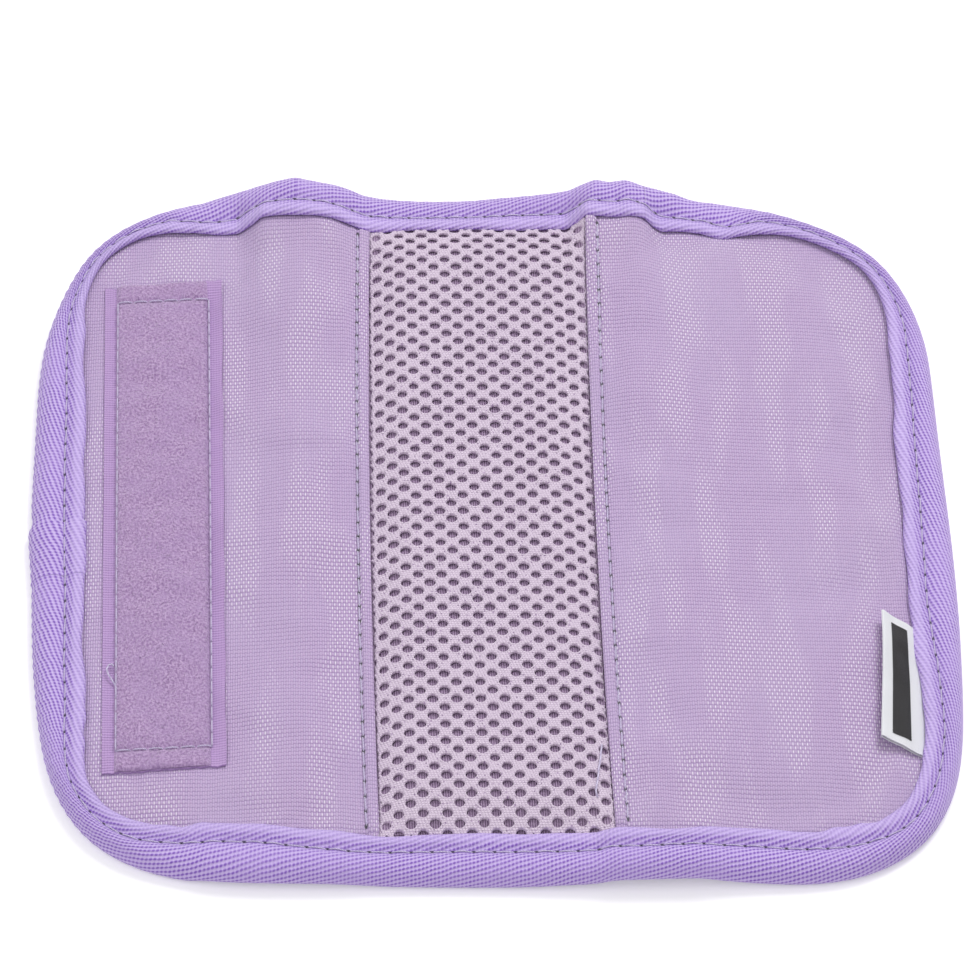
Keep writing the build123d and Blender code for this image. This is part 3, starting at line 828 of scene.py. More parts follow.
def tubes(paths, radius, across=(0.0, 0.0, 1.0), sides=6):
    """Closed round tubes along many paths of equal length, as one set of points and faces."""
    paths = np.asarray(paths, float)
    count, steps = paths.shape[:2]
    run = np.gradient(paths, axis=1)
    run /= np.linalg.norm(run, axis=2)[..., None]
    first = np.cross(run, np.broadcast_to(np.asarray(across, float), run.shape))
    first /= np.maximum(np.linalg.norm(first, axis=2), 1e-9)[..., None]
    second = np.cross(first, run)
    angle = np.arange(sides) * 2 * math.pi / sides
    radius = np.broadcast_to(np.asarray(radius, float), (count, steps))
    ring = np.cos(angle)[:, None] * first[..., None, :] + np.sin(angle)[:, None] * second[..., None, :]
    points = paths[..., None, :] + radius[..., None, None] * ring
    index = np.arange(count * steps * sides).reshape(count, steps, sides)
    following = np.roll(index, -1, axis=2)
    walls = np.stack([index[:, :-1], following[:, :-1], following[:, 1:], index[:, 1:]], -1).reshape(-1, 4)
    caps = [tuple(r[::-1]) for r in index[:, 0]] + [tuple(r) for r in index[:, -1]]
    return points.reshape(-1, 3), [tuple(f) for f in walls] + caps


thread = Finish("sewing_thread", (0.56, 0.50, 0.70), 0.45, sheen=0.3, gloss=0.5)
_, thread_across, thread_along = thread.flat()
ply_turn = thread.math("MULTIPLY_ADD", thread_across, 1.4, thread.times(thread_along, 6.0))
ply = thread.math("ABSOLUTE", thread.math("SINE", ply_turn))
sewing_thread = thread.finish(
    thread.blend(thread.between(ply, 0.1, 0.7), (0.42, 0.35, 0.56), (0.64, 0.57, 0.77)), ply, 0.05
)


def tube_flat(points, count, steps, sides=6):
    """Round and along each tube, for the twist of its plies."""
    along = np.broadcast_to(np.arange(steps)[None, :, None] * 0.5, (count, steps, sides))
    around_tube = np.broadcast_to(np.arange(sides)[None, None, :] * math.tau / sides, along.shape)
    return np.column_stack([around_tube.ravel(), along.ravel()])


def fibres(name, paths, radius, material, across=(0.0, 0.0, 1.0), sides=6):
    """One piece of thread or fibre: a tube along each of the paths."""
    points, faces = tubes(paths, radius, across, sides)
    piece = make_piece(name, points, faces, tube_flat(points, len(paths), len(paths[0]), sides))
    piece.data.materials.append(material)
    return piece


for side, outwards in (("left", -1), ("right", 1)):
    holes = (np.arange(-22, 22) + 0.5) * topstitch_pitch
    holes = holes[np.abs(holes) < mesh_depth - 1.2]
    share = np.linspace(0, 1, 8)
    y = holes[:-1, None] + share * topstitch_pitch
    slant = outwards * 0.14 * (share - 0.5)[None] + 0.03 * np.sin(holes[:-1, None] * 2.1)
    x = hem_edge(side, y) + outwards * hem_width + slant
    hem_top = lining_height(x, y) + hem_section(side, y, 0 * y)[1]
    z = hem_top + 0.16 - 0.42 * (2 * share - 1) ** 6 + 0.16 * np.sin(math.pi * share)
    piece = fibres(f"topstitching_{side}", np.stack([x, y, z], -1), thread_radius, sewing_thread)
    bend_with(piece)
    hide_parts(f"seam_stitches_{side}")

# ------------------------------------------------------------------- loop tape
# The soft half of the fastener: a woven tape 25 mm wide with two ribbed selvedges and a
# brushed pile of fine loops between them, sewn to the left flap round a long rectangle.
tape_colour = (0.50, 0.335, 0.625)
left_selvedge, right_selvedge = 2.5, 3.0
pile_height = 1.0


def tape_ground(across, along):
    """Height of the lining under the tape, and the plan place there."""
    place = tape_place(across, along)
    return place, lining_height(place[..., 0], place[..., 1])


tape_a, tape_b = np.meshgrid(
    np.concatenate([[0, 0.25], np.arange(0.75, 24.5, 0.5), [24.75, 25.0]]),
    np.linspace(0, tape_length, 161), indexing="ij",
)
tape_plan, tape_seat = tape_ground(tape_a, tape_b)
edge_curl = 0.22 * np.exp(-((tape_width - tape_a) / 1.1) ** 2) + 0.05 * np.exp(-(tape_a / 0.8) ** 2)
tape_wave = 0.10 * np.sin(tape_b / 7.3 + 1.0) * np.exp(-((tape_width - tape_a) / 3.0) ** 2)
corner_lift = 0.5 * np.exp(-((tape_width - tape_a) ** 2 + (tape_length - tape_b) ** 2) / 16.0)
tape_level = tape_seat + 0.42 + edge_curl + tape_wave + corner_lift
frayed = 0.12 * np.sin(tape_a * 2.1) + 0.08 * np.sin(tape_a * 5.3)
tape_xy = tape_plan + np.where(
    (tape_b <= 0)[..., None] | (tape_b >= tape_length)[..., None], frayed[..., None] * (0.0, 1.0), 0.0
)
tape_xy[..., 0] += 0.10 * np.sin(tape_b / 3.4) * (tape_a >= 24.9)
loop_tape = make_piece(
    "loop_tape_base", np.column_stack([tape_xy.reshape(-1, 2), tape_level.ravel()]), grid_faces(tape_a.shape),
    np.column_stack([tape_a.ravel(), tape_b.ravel()]), 0.4,
)
selvedge = Finish("selvedge_ribs", tape_colour, 0.55, sheen=0.2, gloss=0.35)
rib_spot, rib_across, rib_along = selvedge.flat()
rib = selvedge.ridges(rib_along, 0.62)
cord = selvedge.ridges(rib_across, 0.55)
rib_height = selvedge.math("MULTIPLY_ADD", cord, 0.45, rib)
rib_patch = selvedge.cloud(rib_spot, 0.35, 3.0)
rib_tone = selvedge.blend(selvedge.between(rib_height, 0.35, 1.2), (0.36, 0.22, 0.50), (0.51, 0.33, 0.64))
rib_tone = selvedge.tint(rib_tone, rib_patch, 0.3, (0.56, 0.38, 0.63))
loop_tape.data.materials.append(selvedge.finish(rib_tone, rib_height, 0.13))
bend_with(loop_tape)
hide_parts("loop_tape")

# The brushed pile: a dense bed of tangled loops, tufted and a little matted
pile_a, pile_b = np.meshgrid(
    np.linspace(left_selvedge, tape_width - right_selvedge, 66), np.linspace(0.1, tape_length - 0.1, 400),
    indexing="ij",
)
pile_plan, pile_seat = tape_ground(pile_a, pile_b)
pile_edge = np.minimum(pile_a - left_selvedge, tape_width - right_selvedge - pile_a)
pile_end = np.minimum(pile_b, tape_length - pile_b)
in_rectangle = np.minimum(pile_b - tape_stitch_end, tape_length - tape_stitch_end - pile_b)
stitched = np.exp(-(in_rectangle / 0.7) ** 2)
stitched = np.maximum(stitched, np.exp(-((pile_a - tape_width + tape_stitch_in + 0.25) / 0.5) ** 2))
tuft = np.zeros(pile_a.shape)
for k, (fa, fb, turn, size) in enumerate((
    (5.1, 4.3, 0.3, 0.05), (3.3, 6.1, 1.1, 0.05), (7.9, 2.2, 2.0, 0.045), (2.1, 8.7, 2.8, 0.045),
    (9.3, 7.1, 0.7, 0.03), (1.3, 1.1, 1.9, 0.06), (0.6, 0.9, 0.2, 0.05),
)):
    swirl = 1.3 * np.sin(pile_b * 0.9 * fa / 3 + k)
    tuft += size * np.sin(pile_a * fa + turn + swirl) * np.sin(pile_b * fb + 2 * turn)
body = pile_height * (1 - np.exp(-np.maximum(pile_edge, 0) / 0.35)) * (1 - np.exp(-pile_end / 0.3))
pile_level = pile_seat + 0.47 + body * (1 - 0.5 * stitched) + tuft * np.minimum(body, 1)
pile_piece = make_piece(
    "loop_pile_bed", np.column_stack([pile_plan.reshape(-1, 2), pile_level.ravel()]),
    grid_faces(pile_a.shape), np.column_stack([pile_a.ravel(), pile_b.ravel()]), 0.3,
)
pile = Finish("brushed_pile", (0.42, 0.27, 0.48), 0.95, sheen=0.45, gloss=0.15)
pile_spot, *_ = pile.flat()
strands = pile.cloud(pile_spot, 1.9, 6.0)
combed = pile.node("Mapping", Vector=pile_spot, Rotation=(0, 0, 0.9), Scale=(3.2, 0.9, 1))
tangle = pile.cloud(combed.outputs[0], 1.5, 4.0)
matted = pile.cloud(pile_spot, 0.16, 3.0)
pile_tone = pile.blend(pile.between(strands, 0.30, 0.70), (0.31, 0.18, 0.39), (0.60, 0.42, 0.68))
pile_tone = pile.tint(pile_tone, pile.between(tangle, 0.52, 0.75), 0.5, (0.74, 0.56, 0.80))
pile_tone = pile.tint(pile_tone, pile.between(tangle, 0.46, 0.28), 0.55, (0.25, 0.13, 0.34))
pile_tone = pile.tint(pile_tone, pile.between(matted, 0.35, 0.65), 0.35, (0.46, 0.31, 0.57))
brushed_pile = pile.finish(
    pile_tone, pile.math("MULTIPLY_ADD", tangle, 0.6, strands), 0.45
)
pile_piece.data.materials.append(brushed_pile)
bend_with(pile_piece)
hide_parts("loop_pile")

# Stray loops standing out of the pile
seeds = np.arange(2600)
spot_a = left_selvedge + 0.5 + (seeds * 0.61803 % 1) * (tape_width - left_selvedge - right_selvedge - 1.0)
spot_b = 0.6 + (seeds * 0.41421 % 1 + 0.13 * np.sin(seeds * 1.7)) % 1 * (tape_length - 1.2)
lean = seeds * 2.39996
share = np.linspace(0, 1, 5)
reach = 0.35 + 0.3 * (seeds * 0.7548 % 1)
a = spot_a[:, None] + reach[:, None] * (share - 0.5) * np.cos(lean)[:, None]
b = np.clip(spot_b[:, None] + reach[:, None] * (share - 0.5) * np.sin(lean)[:, None], 0.1, tape_length - 0.1)
plan, seat = tape_ground(a, b)
stand = (0.6 + 0.4 * np.sin(seeds * 3.1))[:, None]
z = seat + 0.47 + 0.86 * pile_height + 0.42 * np.sin(math.pi * share) * stand
stray = Finish("pile_fibre", (0.55, 0.40, 0.62), 0.6, sheen=0.4, gloss=0.3)
stray_spot, *_ = stray.flat()
pile_fibre = stray.finish(
    stray.blend(stray.cloud(stray_spot, 0.7), (0.40, 0.26, 0.48), (0.70, 0.55, 0.76))
)
stray_loops = fibres(
    "loop_pile_strays", np.concatenate([plan, z[..., None]], -1), 0.035, pile_fibre, sides=3
)
bend_with(stray_loops)

# ------------------------------------------------------- stitching of the tape
# The same thread, sewn round the tape in one rectangle that sinks into the pile, with a
# short tail where the sewing ends.
def sewn_rectangle(low, high, gap):
    """Paths of the stitches round a rectangle, in even steps along each of its sides."""
    corners = np.array([low, (low[0], high[1]), high, (high[0], low[1])], float)
    runs = []
    for start, end in zip(corners, np.roll(corners, -1, 0)):
        count = int(round(np.linalg.norm(end - start) / tape_stitch_pitch))
        for k in range(count):
            share = (k + np.linspace(gap, 1 - gap, 8)) / count
            runs.append(start + share[:, None] * (end - start))
    return np.array(runs)


stitch_runs = sewn_rectangle(
    (tape_stitch_in, tape_stitch_end),
    (tape_width - tape_stitch_in, tape_length - tape_stitch_end), 0.02,
)
plan, seat = tape_ground(stitch_runs[..., 0], stitch_runs[..., 1])
stitch_a = stitch_runs[..., 0]
on_pile = (stitch_a > left_selvedge + 0.2) & (stitch_a < tape_width - right_selvedge + 0.3)
arc = np.sin(math.pi * np.linspace(0, 1, 8))
z = seat + np.where(on_pile, 1.16, 0.72) + 0.20 * arc - 0.45 * (1 - arc) ** 4
tape_stitching = fibres(
    "loop_tape_stitching", np.concatenate([plan, z[..., None]], -1), 0.16, sewing_thread
)
bend_with(tape_stitching)
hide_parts("loop_tape_stitches")

tail_a = np.array([2.9, 2.6, 1.9, 1.2, 0.9, 1.4, 2.0, 2.3])
tail_b = np.array([20.5, 21.6, 22.8, 24.0, 25.4, 26.5, 26.6, 25.9])
plan, seat = tape_ground(tail_a, tail_b)
z = seat + np.array([0.6, 0.9, 1.2, 1.35, 1.3, 1.2, 1.25, 1.4])
thread_tail = fibres(
    "thread_tail", np.concatenate([plan, z[:, None]], -1)[None], thread_radius, sewing_thread
)
bend_with(thread_tail)

# --------------------------------------------------------------- edge binding
# One length of soft twill tape folded round the raw edges of every layer. It turns the
# corners with small puckers, its inner edge rolls up like a lip, and its ends lap at the
# left. One row of lockstitches holds both of its edges.
# Section of the folded tape, from the lip over the top and back underneath: how far each
# point is in from the edge, and its height
binding_profile = np.array([
    (10.1, 4.2), (10.42, 4.55), (10.36, 5.0), (10.0, 5.38), (9.4, 5.62), (8.7, 5.64), (8.0, 5.44),
    (7.4, 5.08), (6.95, 4.74), (6.5, 4.5), (6.1, 4.62), (5.7, 4.86), (5.1, 5.1), (4.3, 5.22), (3.5, 5.18),
    (2.6, 4.95), (1.75, 4.52), (1.0, 3.92), (0.45, 3.18), (0.1, 2.42), (0.0, 1.8), (0.15, 1.12), (0.6, 0.52),
    (1.3, 0.14), (2.3, 0.02), (4.2, 0.0), (5.8, 0.05), (6.5, 0.26), (7.2, 0.05), (8.6, 0.0), (9.8, 0.04),
    (10.3, 0.25), (10.35, 0.6), (10.1, 0.82), (7.0, 0.95), (3.0, 0.95), (1.6, 1.2), (0.95, 2.0), (1.2, 3.0),
    (2.0, 3.7), (3.4, 4.05), (5.0, 4.12), (6.5, 3.85), (8.0, 4.08), (9.8, 4.1),
])
stitch_in = 6.5
binding_stitch_pitch = 4.12
lap_fold_rise = 0.62
profile_run = np.concatenate([
    [0], np.cumsum(np.linalg.norm(np.diff(binding_profile, axis=0), axis=1))
])
stitch_groove = float(profile_run[9])
rim_count = len(rim)
# Places round the rim, each with how much of the tape shows there: less round the corners,
# where it is pulled under
shown_marks = (
    (-95.5, 4, 11.0), (-95.2, 32, 10.5), (-94.2, 46, 9.3), (-92.7, 54, 7.8), (-91, 59, 5.9), (-89, 66, 4.7),
    (-85, 73, 4.2), (-80, 80, 4.8), (-76, 83, 5.4), (-70, 86, 7.4), (-65, 88, 10.1), (-58, 90, 11.9),
    (-53, 90, 11.3), (-47, 90, 10.7), (-24, 90, 10.4), (12, 90, 10.2), (36, 90, 10.9), (51, 89, 11.1),
    (54, 88.6, 12.4), (58, 88, 11.0), (61, 87, 9.0), (68, 84, 6.4), (73, 82, 5.6), (80, 77, 5.2),
    (86, 72, 4.9),
    (90, 65, 5.4), (93, 58, 6.5), (95, 47, 8.6), (95.7, 17, 9.8), (95.8, -23, 10.6), (95.3, -42, 9.1),
    (94.3, -56, 8.0), (91, -69, 7.5), (87, -77, 7.4), (80, -83, 8.2), (75, -86, 9.1), (65, -89, 10.1),
    (51, -90, 10.9), (27, -90, 10.0), (-12, -90, 10.5), (-32, -90, 10.1), (-48, -89, 11.7), (-57, -88, 11.5),
    (-67, -87, 10.1), (-76, -83, 7.9), (-84, -76, 6.4), (-88, -68, 6.5), (-91, -62, 8.0), (-93, -48, 9.8),
    (-95, -22, 10.9),
)
mark_spots = [int(((rim - mark[:2]) ** 2).sum(1).argmin()) for mark in shown_marks]
tape_shown = np.interp(
    np.arange(rim_count), *zip(*sorted(zip(mark_spots, (mark[2] for mark in shown_marks)))), period=rim_count
)
tape_shown = sum(np.roll(tape_shown, k) for k in range(-4, 5)) / 9
stitch_depth = np.maximum(tape_shown - 4.0, 0.45 * tape_shown + 0.4)
stitch_line = rim + stitch_depth[:, None] * rim_inwards
stitch_step = np.linalg.norm(np.roll(stitch_line, -1, 0) - stitch_line, axis=1)
rim_along = np.concatenate([[0], np.cumsum(stitch_step)])
rim_total = rim_along[-1]
pitch = rim_total / round(rim_total / binding_stitch_pitch)


def rim_cross(x, back):
    """The rim place where the back or front edge crosses x."""
    near = np.where(rim[:, 1] * (1 if back else -1) > 60, np.abs(rim[:, 0] - x), 1e6)
    return int(near.argmin())


back_left, back_middle, back_right = (rim_cross(x, True) for x in (left_cut, middle_cut, right_cut))
front_left, front_middle, front_right = (rim_cross(x, False) for x in (left_cut, middle_cut, right_cut))


def binding_surface(places, proud=0.0):
    """Points of the folded tape at some rim places; proud stands it off by that much."""
    at = np.asarray(places) % rim_count
    along = rim_along[at][:, None]
    depth, height = (np.repeat(binding_profile[None, :, k], len(at), 0) for k in (0, 1))
    heading = np.gradient(binding_profile, axis=0)
    heading /= np.linalg.norm(heading, axis=1)[:, None]
    proud = np.broadcast_to(np.asarray(proud, float), (len(at),))[:, None]
    depth = depth + proud * heading[:, 1][None]
    height = height - proud * heading[:, 0][None]
    shown, stitch = tape_shown[at][:, None], stitch_depth[at][:, None]
    drawn = np.where(
        depth < stitch_in, depth * stitch / stitch_in,
        stitch + (depth - stitch_in) * (shown - stitch) / (10.4 - stitch_in),
    )
    depth = depth + ease((height - 2.4) / 1.2) * (drawn - depth)
    x, y = rim[at, 0][:, None], rim[at, 1][:, None]
    corner = ease((np.abs(x) - 52) / 18) * ease((np.abs(y) - 42) / 22)
    top = ease((height - 3.2) / 1.2)
    lip = ease((depth - 7.0) / 2.6) * top
    outer = ease((4.5 - depth) / 3.5)
    pucker = 0.26 * np.sin(along / 1.9 + 2.2 * np.sin(along / 7.7)) + 0.2 * np.sin(along / 1.07 + 1.1)
    stroll = 0.22 * np.sin(along / 9.1 + 0.4) + 0.18 * np.sin(along / 4.3 + 2.0) + 0.12 * np.sin(along / 2.3)
    depth = depth + lip * (stroll + corner * pucker)
    height = height + lip * (0.10 * np.sin(along / 3.1 + 0.8) + 0.16 * corner * pucker)
    left_side = ease((-x - 70) / 20)
    rippled = left_side * 0.10 * np.sin(along * 2 * math.pi / 2.55)
    depth = depth + outer * (0.16 * np.sin(along / 11.0) + rippled)
    between = np.cos(2 * math.pi * along / pitch)
    height = height - top * 0.16 * (0.5 + 0.5 * between) * np.exp(-((depth - stitch) / 1.5) ** 2)
    height = height + top * outer * 0.06 * between
    spread_x = rim[at, 0][:, None] + rim_inwards[at, 0][:, None] * depth
    spread_y = rim[at, 1][:, None] + rim_inwards[at, 1][:, None] * depth
    return np.stack([spread_x, spread_y, height + rise(spread_x, spread_y)], -1)


def swept(name, places, proud=0.0):
    """One length of the binding as a closed piece, with its place on the flat tape."""
    surface = binding_surface(places, proud)
    count, around = surface.shape[:2]
    at = np.asarray(places)
    along = rim_along[at % rim_count] + rim_total * (at // rim_count)
    cloth = np.stack([
        np.broadcast_to(along[:, None], (count, around)), np.broadcast_to(profile_run[None], (count, around))
    ], -1)
    index = np.arange(count * around).reshape(count, around)
    following = np.roll(index, -1, axis=1)
    walls = np.stack([index[:-1], following[:-1], following[1:], index[1:]], -1).reshape(-1, 4)
    caps = [tuple(index[0][::-1]), tuple(index[-1])]
    piece = make_piece(name, surface.reshape(-1, 3), [tuple(f) for f in walls] + caps, cloth.reshape(-1, 2))
    piece.data.set_sharp_from_angle(angle=math.radians(70))
    return piece, along[-1] - along[0]


twill = Finish("binding_twill", (0.40, 0.27, 0.63), 0.58, sheen=0.25, gloss=0.35)
twill_spot, twill_along, twill_across = twill.flat()
drift = twill.math("MULTIPLY_ADD", twill.cloud(twill_spot, 0.11, 2.0), 1.2, twill_across)
rib_place = twill.math("MULTIPLY_ADD", drift, -1.03, twill.times(twill_along, 0.325))
ribs = twill.math("MULTIPLY_ADD", twill.math("SINE", twill.times(rib_place, math.tau)), 0.5, 0.5)
cell_turn = twill.times(twill_along, math.tau / 0.77)
cells = twill.math("MULTIPLY_ADD", twill.math("SINE", cell_turn), 0.5, 0.5)
strand = twill.math("MULTIPLY_ADD", ribs, 0.62, twill.times(cells, 0.38))
gap = twill.times(twill.between(ribs, 0.45, 0.05), twill.between(cells, 0.85, 0.30))
hairs = twill.cloud(twill_spot, 1.8, 4.0)
worn = twill.cloud(twill_spot, 0.07, 2.0)
twill_tone = twill.blend(twill.between(strand, 0.12, 0.80), (0.30, 0.165, 0.60), (0.60, 0.465, 0.83))
twill_tone = twill.tint(twill_tone, gap, 0.85, (0.185, 0.065, 0.47))
twill_tone = twill.tint(twill_tone, twill.between(hairs, 0.45, 0.75), 0.35, (0.66, 0.53, 0.85))
twill_tone = twill.tint(twill_tone, twill.between(worn, 0.4, 0.65), 0.25, (0.52, 0.37, 0.78))
# Painted shade: each needle hole in the binding is painted near-black for the shade inside it
hole_turn = twill.math("FRACT", twill.math("MULTIPLY_ADD", twill_along, 1 / pitch, 400.5))
hole_spot = twill.node(
    "CombineXYZ", X=twill.times(twill.math("SUBTRACT", hole_turn, 0.5), pitch * 0.95),
    Y=twill.times(twill.math("SUBTRACT", twill_across, stitch_groove), 2.0),
)
hole_reach = twill.node("VectorMath", {"operation": "LENGTH"}, Vector=hole_spot.outputs[0]).outputs["Value"]
painted_shade_binding_hole = twill.between(hole_reach, 0.30, 0.80)
# Painted shade: a darker band along the stitch groove, where shade falls in the valley
painted_shade_stitch_groove = twill.between(
    twill.math("ABSOLUTE", twill.math("SUBTRACT", twill_across, stitch_groove)), 0.10, 0.45
)
twill_tone = twill.blend(painted_shade_stitch_groove, (0.30, 0.185, 0.55), twill_tone)
# Painted highlight: the top of the rolled lip is painted paler, as if lit
painted_highlight_lip_roll = twill.times(
    twill.between(twill_across, 0.9, 1.7), twill.between(twill_across, 3.9, 3.0)
)
twill_tone = twill.tint(twill_tone, painted_highlight_lip_roll, 0.55, (0.60, 0.47, 0.84))
# Painted shade: the underside of the lip next to the lining is painted a deep saturated violet
painted_shade_under_lip = twill.between(twill_across, 0.75, 0.25)
twill_tone = twill.tint(twill_tone, painted_shade_under_lip, 0.8, (0.22, 0.085, 0.52))
twill_tone = twill.blend(painted_shade_binding_hole, (0.05, 0.035, 0.085), twill_tone)
binding_twill = twill.finish(twill_tone, twill.math("MULTIPLY_ADD", painted_shade_binding_hole, 0.8, strand), 0.22)

binding_runs = {
    "binding_left_flap": ("left_flap", range(front_left, back_left + rim_count + 1), ("binding_left_end",)),
    "binding_back_left": (
        "left_seam", range(back_left, back_middle + 1), ("binding_left_inner", "binding_back_centre")
    ),
    "binding_back_right": ("right_seam", range(back_middle, back_right + 1), ("binding_right_inner",)),
    "binding_right_flap": ("right_flap", range(back_right, front_right + 1), ("binding_right_end",)),
    "binding_front_right": ("right_seam", range(front_right, front_middle + 1), ("binding_front_centre",)),
    "binding_front_left": ("left_seam", range(front_middle, front_left + 1), ("binding_left_inner",)),
}
for name, (panel, places, nodes) in binding_runs.items():
    piece, length = swept(name, np.array(places))
    piece.data.materials.append(binding_twill)
    bend_with(piece)
    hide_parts(*nodes)

# The lapped end: folded square across the tape, it fades into the tape under it
lap_back, lap_front = -0.6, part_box("binding_lap")[0].y * 1000 - 2
lap_places = np.array([i for i in range(rim_count) if rim[i, 0] < -80 and lap_front < rim[i, 1] < lap_back])
if lap_places.max() - lap_places.min() > rim_count / 2:
    lap_places = np.sort(np.where(lap_places < rim_count / 2, lap_places + rim_count, lap_places))
from_back = lap_back - rim[lap_places % rim_count, 1]
lap_proud = 0.05 + lap_fold_rise * ease(from_back / 0.5 + 0.35) * (1 - 0.85 * ease((from_back - 2) / 13))
lap, _ = swept("binding_lap_end", lap_places, lap_proud)
lap.data.materials.append(binding_twill)
bend_with(lap)
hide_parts("binding_lap")

# ------------------------------------------------------ stitching of the binding
# One row of lockstitches through both edges of the binding, the thread pulled down into it.
rim_holes = np.arange(int(round(rim_total / pitch)))
share = np.linspace(0.03, 0.97, 8)
spots = (rim_holes[:, None] + share) * pitch
line_x = np.interp(spots, rim_along, np.append(stitch_line[:, 0], stitch_line[0, 0]))
line_y = np.interp(spots, rim_along, np.append(stitch_line[:, 1], stitch_line[0, 1]))
across_x = np.interp(spots, rim_along, np.append(rim_inwards[:, 0], rim_inwards[0, 0]))
across_y = np.interp(spots, rim_along, np.append(rim_inwards[:, 1], rim_inwards[0, 1]))
slant = 0.16 * (share - 0.5)[None] + 0.10 * np.sin(rim_holes * 1.9)[:, None] * np.sin(math.pi * share)
line_x, line_y = line_x + slant * across_x, line_y + slant * across_y
on_lap = (line_x < -70) & (line_y < lap_back) & (line_y > lap_front)
lap_lift = np.where(on_lap, lap_fold_rise * (1 - 0.85 * ease((lap_back - line_y - 2) / 13)), 0)
level = 4.50 - 0.16 * (0.5 + 0.5 * np.cos(2 * math.pi * share)) + lap_lift + rise(line_x, line_y)
level = level + 0.07 + 0.12 * np.sin(math.pi * share) - 0.40 * (2 * share - 1) ** 8
stitch_paths = np.stack([line_x, line_y, level], -1)
middle_x = line_x.mean(1)
for panel, (low, high, *_) in panels.items():
    own = (middle_x > low) & (middle_x <= high)
    piece = fibres(f"binding_stitching_{panel}", stitch_paths[own], 0.15, sewing_thread)
    bend_with(piece)
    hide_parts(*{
        "left_flap": ("binding_stitches_left_end", "binding_stitches_left_inner"),
        "left_seam": ("binding_stitches_centre",),
        "right_seam": ("binding_stitches_centre",),
        "right_flap": ("binding_stitches_right_end", "binding_stitches_right_inner"),
    }[panel])

# ----------------------------------------------------------------------- label
# A white woven satin label folded in half, its two raw ends caught in the binding. Its
# folded edge stands a little off the lining. The dark woven box on it is left bare.
label_back, label_front = -29.6, -61.0
label_skew = 3.2
label_lift = 2.6
label_cloth_thickness = 0.2
label_width = 31.4
label_along = np.linspace(0, 1, 45)
root = np.stack([
    np.interp(label_front + label_along * (label_back - label_front), (-61, -45, -29.6), (85.6, 86.3, 86.5)),
    label_front + label_along * (label_back - label_front),
], -1)
label_reach = 8.7 - 1.5 * label_along


def label_top(share, along_share):
    """The label's upper layer: share runs from its root in the binding to its folded edge."""
    reach = np.interp(along_share, label_along, label_reach)
    x = np.interp(along_share, label_along, root[:, 0]) - share * reach
    y = np.interp(along_share, label_along, root[:, 1]) + label_skew * share
    bulge = 0.35 * np.sin(math.pi * along_share) * share + 0.12 * np.sin(along_share * 7.0 + 1) * share
    lift = (label_lift - 0.5 * (1 - along_share)) * np.clip(share, 0, 1.2) ** 1.25 + bulge
    return x, y, lining_height(x, y) + 0.62 * ease(share / 0.12 + 0.6) + lift


label_sections = []
for share, drop in (
    [(s, 0.0) for s in np.linspace(-0.16, 0.94, 15)]
    + [(0.94 + 0.045 * math.sin(t), 0.27 * (1 - math.cos(t))) for t in np.linspace(0.35, math.pi - 0.35, 6)]
    + [(s, 0.54 - 0.12 * (0.94 - s)) for s in np.linspace(0.94, -0.1, 12)]
):
    x, y, z = label_top(share, label_along)
    drop = drop if share > 0.1 else drop * max(0.0, (share + 0.1) / 0.2)
    label_sections.append(np.stack([x, y, z - drop], -1))
label_points = np.array(label_sections)
index = np.arange(label_points[..., 0].size).reshape(label_points.shape[:2])
faces = np.stack([index[:-1, :-1], index[:-1, 1:], index[1:, 1:], index[1:, :-1]], -1).reshape(-1, 4)
label_walk = np.cumsum(np.concatenate([[0], np.linalg.norm(
    np.diff(label_points[:, 22], axis=0), axis=1)]))
label_flat = np.stack(np.broadcast_arrays(label_walk[:, None], (label_along * label_width)[None]), -1)
label = make_piece(
    "label_folded", label_points.reshape(-1, 3), faces[:, ::-1], label_flat.reshape(-1, 2),
    label_cloth_thickness,
)
satin = Finish("label_satin", (0.80, 0.81, 0.84), 0.42, sheen=0.2, gloss=0.4)
satin_spot, satin_across, satin_along = satin.flat()
satin_height, _ = satin.weave(satin_across, satin_along, 0.26, 0.30)
satin_patch = satin.cloud(satin_spot, 0.5, 3.0)
satin_tone = satin.blend(satin.between(satin_height, 0.1, 0.8), (0.70, 0.71, 0.75), (0.82, 0.83, 0.86))
satin_tone = satin.tint(satin_tone, satin_patch, 0.3, (0.78, 0.76, 0.83))
label.data.materials.append(satin.finish(satin_tone, satin_height, 0.05))
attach(label, "right_outer")
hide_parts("label")

box_share, box_along = np.meshgrid(np.linspace(0.30, 0.74, 14), np.linspace(0.06, 0.935, 84), indexing="ij")
notch = np.where(np.arange(84) % 2 == 0, 0.006, -0.006)
box_share[0] += notch
box_share[-1] += notch
x, y, z = label_top(box_share, box_along)
index = np.arange(x.size).reshape(x.shape)
faces = np.stack([index[:-1, :-1], index[:-1, 1:], index[1:, 1:], index[1:, :-1]], -1).reshape(-1, 4)
box_flat = np.column_stack([box_share.ravel() * 8, box_along.ravel() * label_width])
label_box = make_piece(
    "label_dark_box", np.column_stack([x.ravel(), y.ravel(), z.ravel() + 0.34]), faces, box_flat, 0.07
)
dark = Finish("label_dark_weave", (0.012, 0.011, 0.012), 0.55, sheen=0.1, gloss=0.35)
_, dark_across, dark_along = dark.flat()
dark_height, _ = dark.weave(dark_across, dark_along, 0.26, 0.30)
label_box.data.materials.append(dark.finish(
    dark.blend(dark_height, (0.006, 0.006, 0.007), (0.022, 0.020, 0.023)), dark_height, 0.05
))
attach(label_box, "right_outer")
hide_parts("label_patch")

# ------------------------------------------------------------------- hook tape
# The stiff half of the fastener, on the underside of the right flap: a woven tape of the
# same width with rows of small moulded hooks, sewn along its edges. It meets the loop tape
# when both flaps are folded over.
hook_low, hook_high = (c * 1000 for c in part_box("hook_tape"))
field_low, field_high = (c * 1000 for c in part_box("hook_field"))
hook_tape_thickness = 0.3
hook_base_level = shell_level - shell_cloth_thickness


def hook_seat(x, y):
    """Height of the hook tape's outer face under the flap."""
    return hook_base_level - 0.33 + rise(x, y)


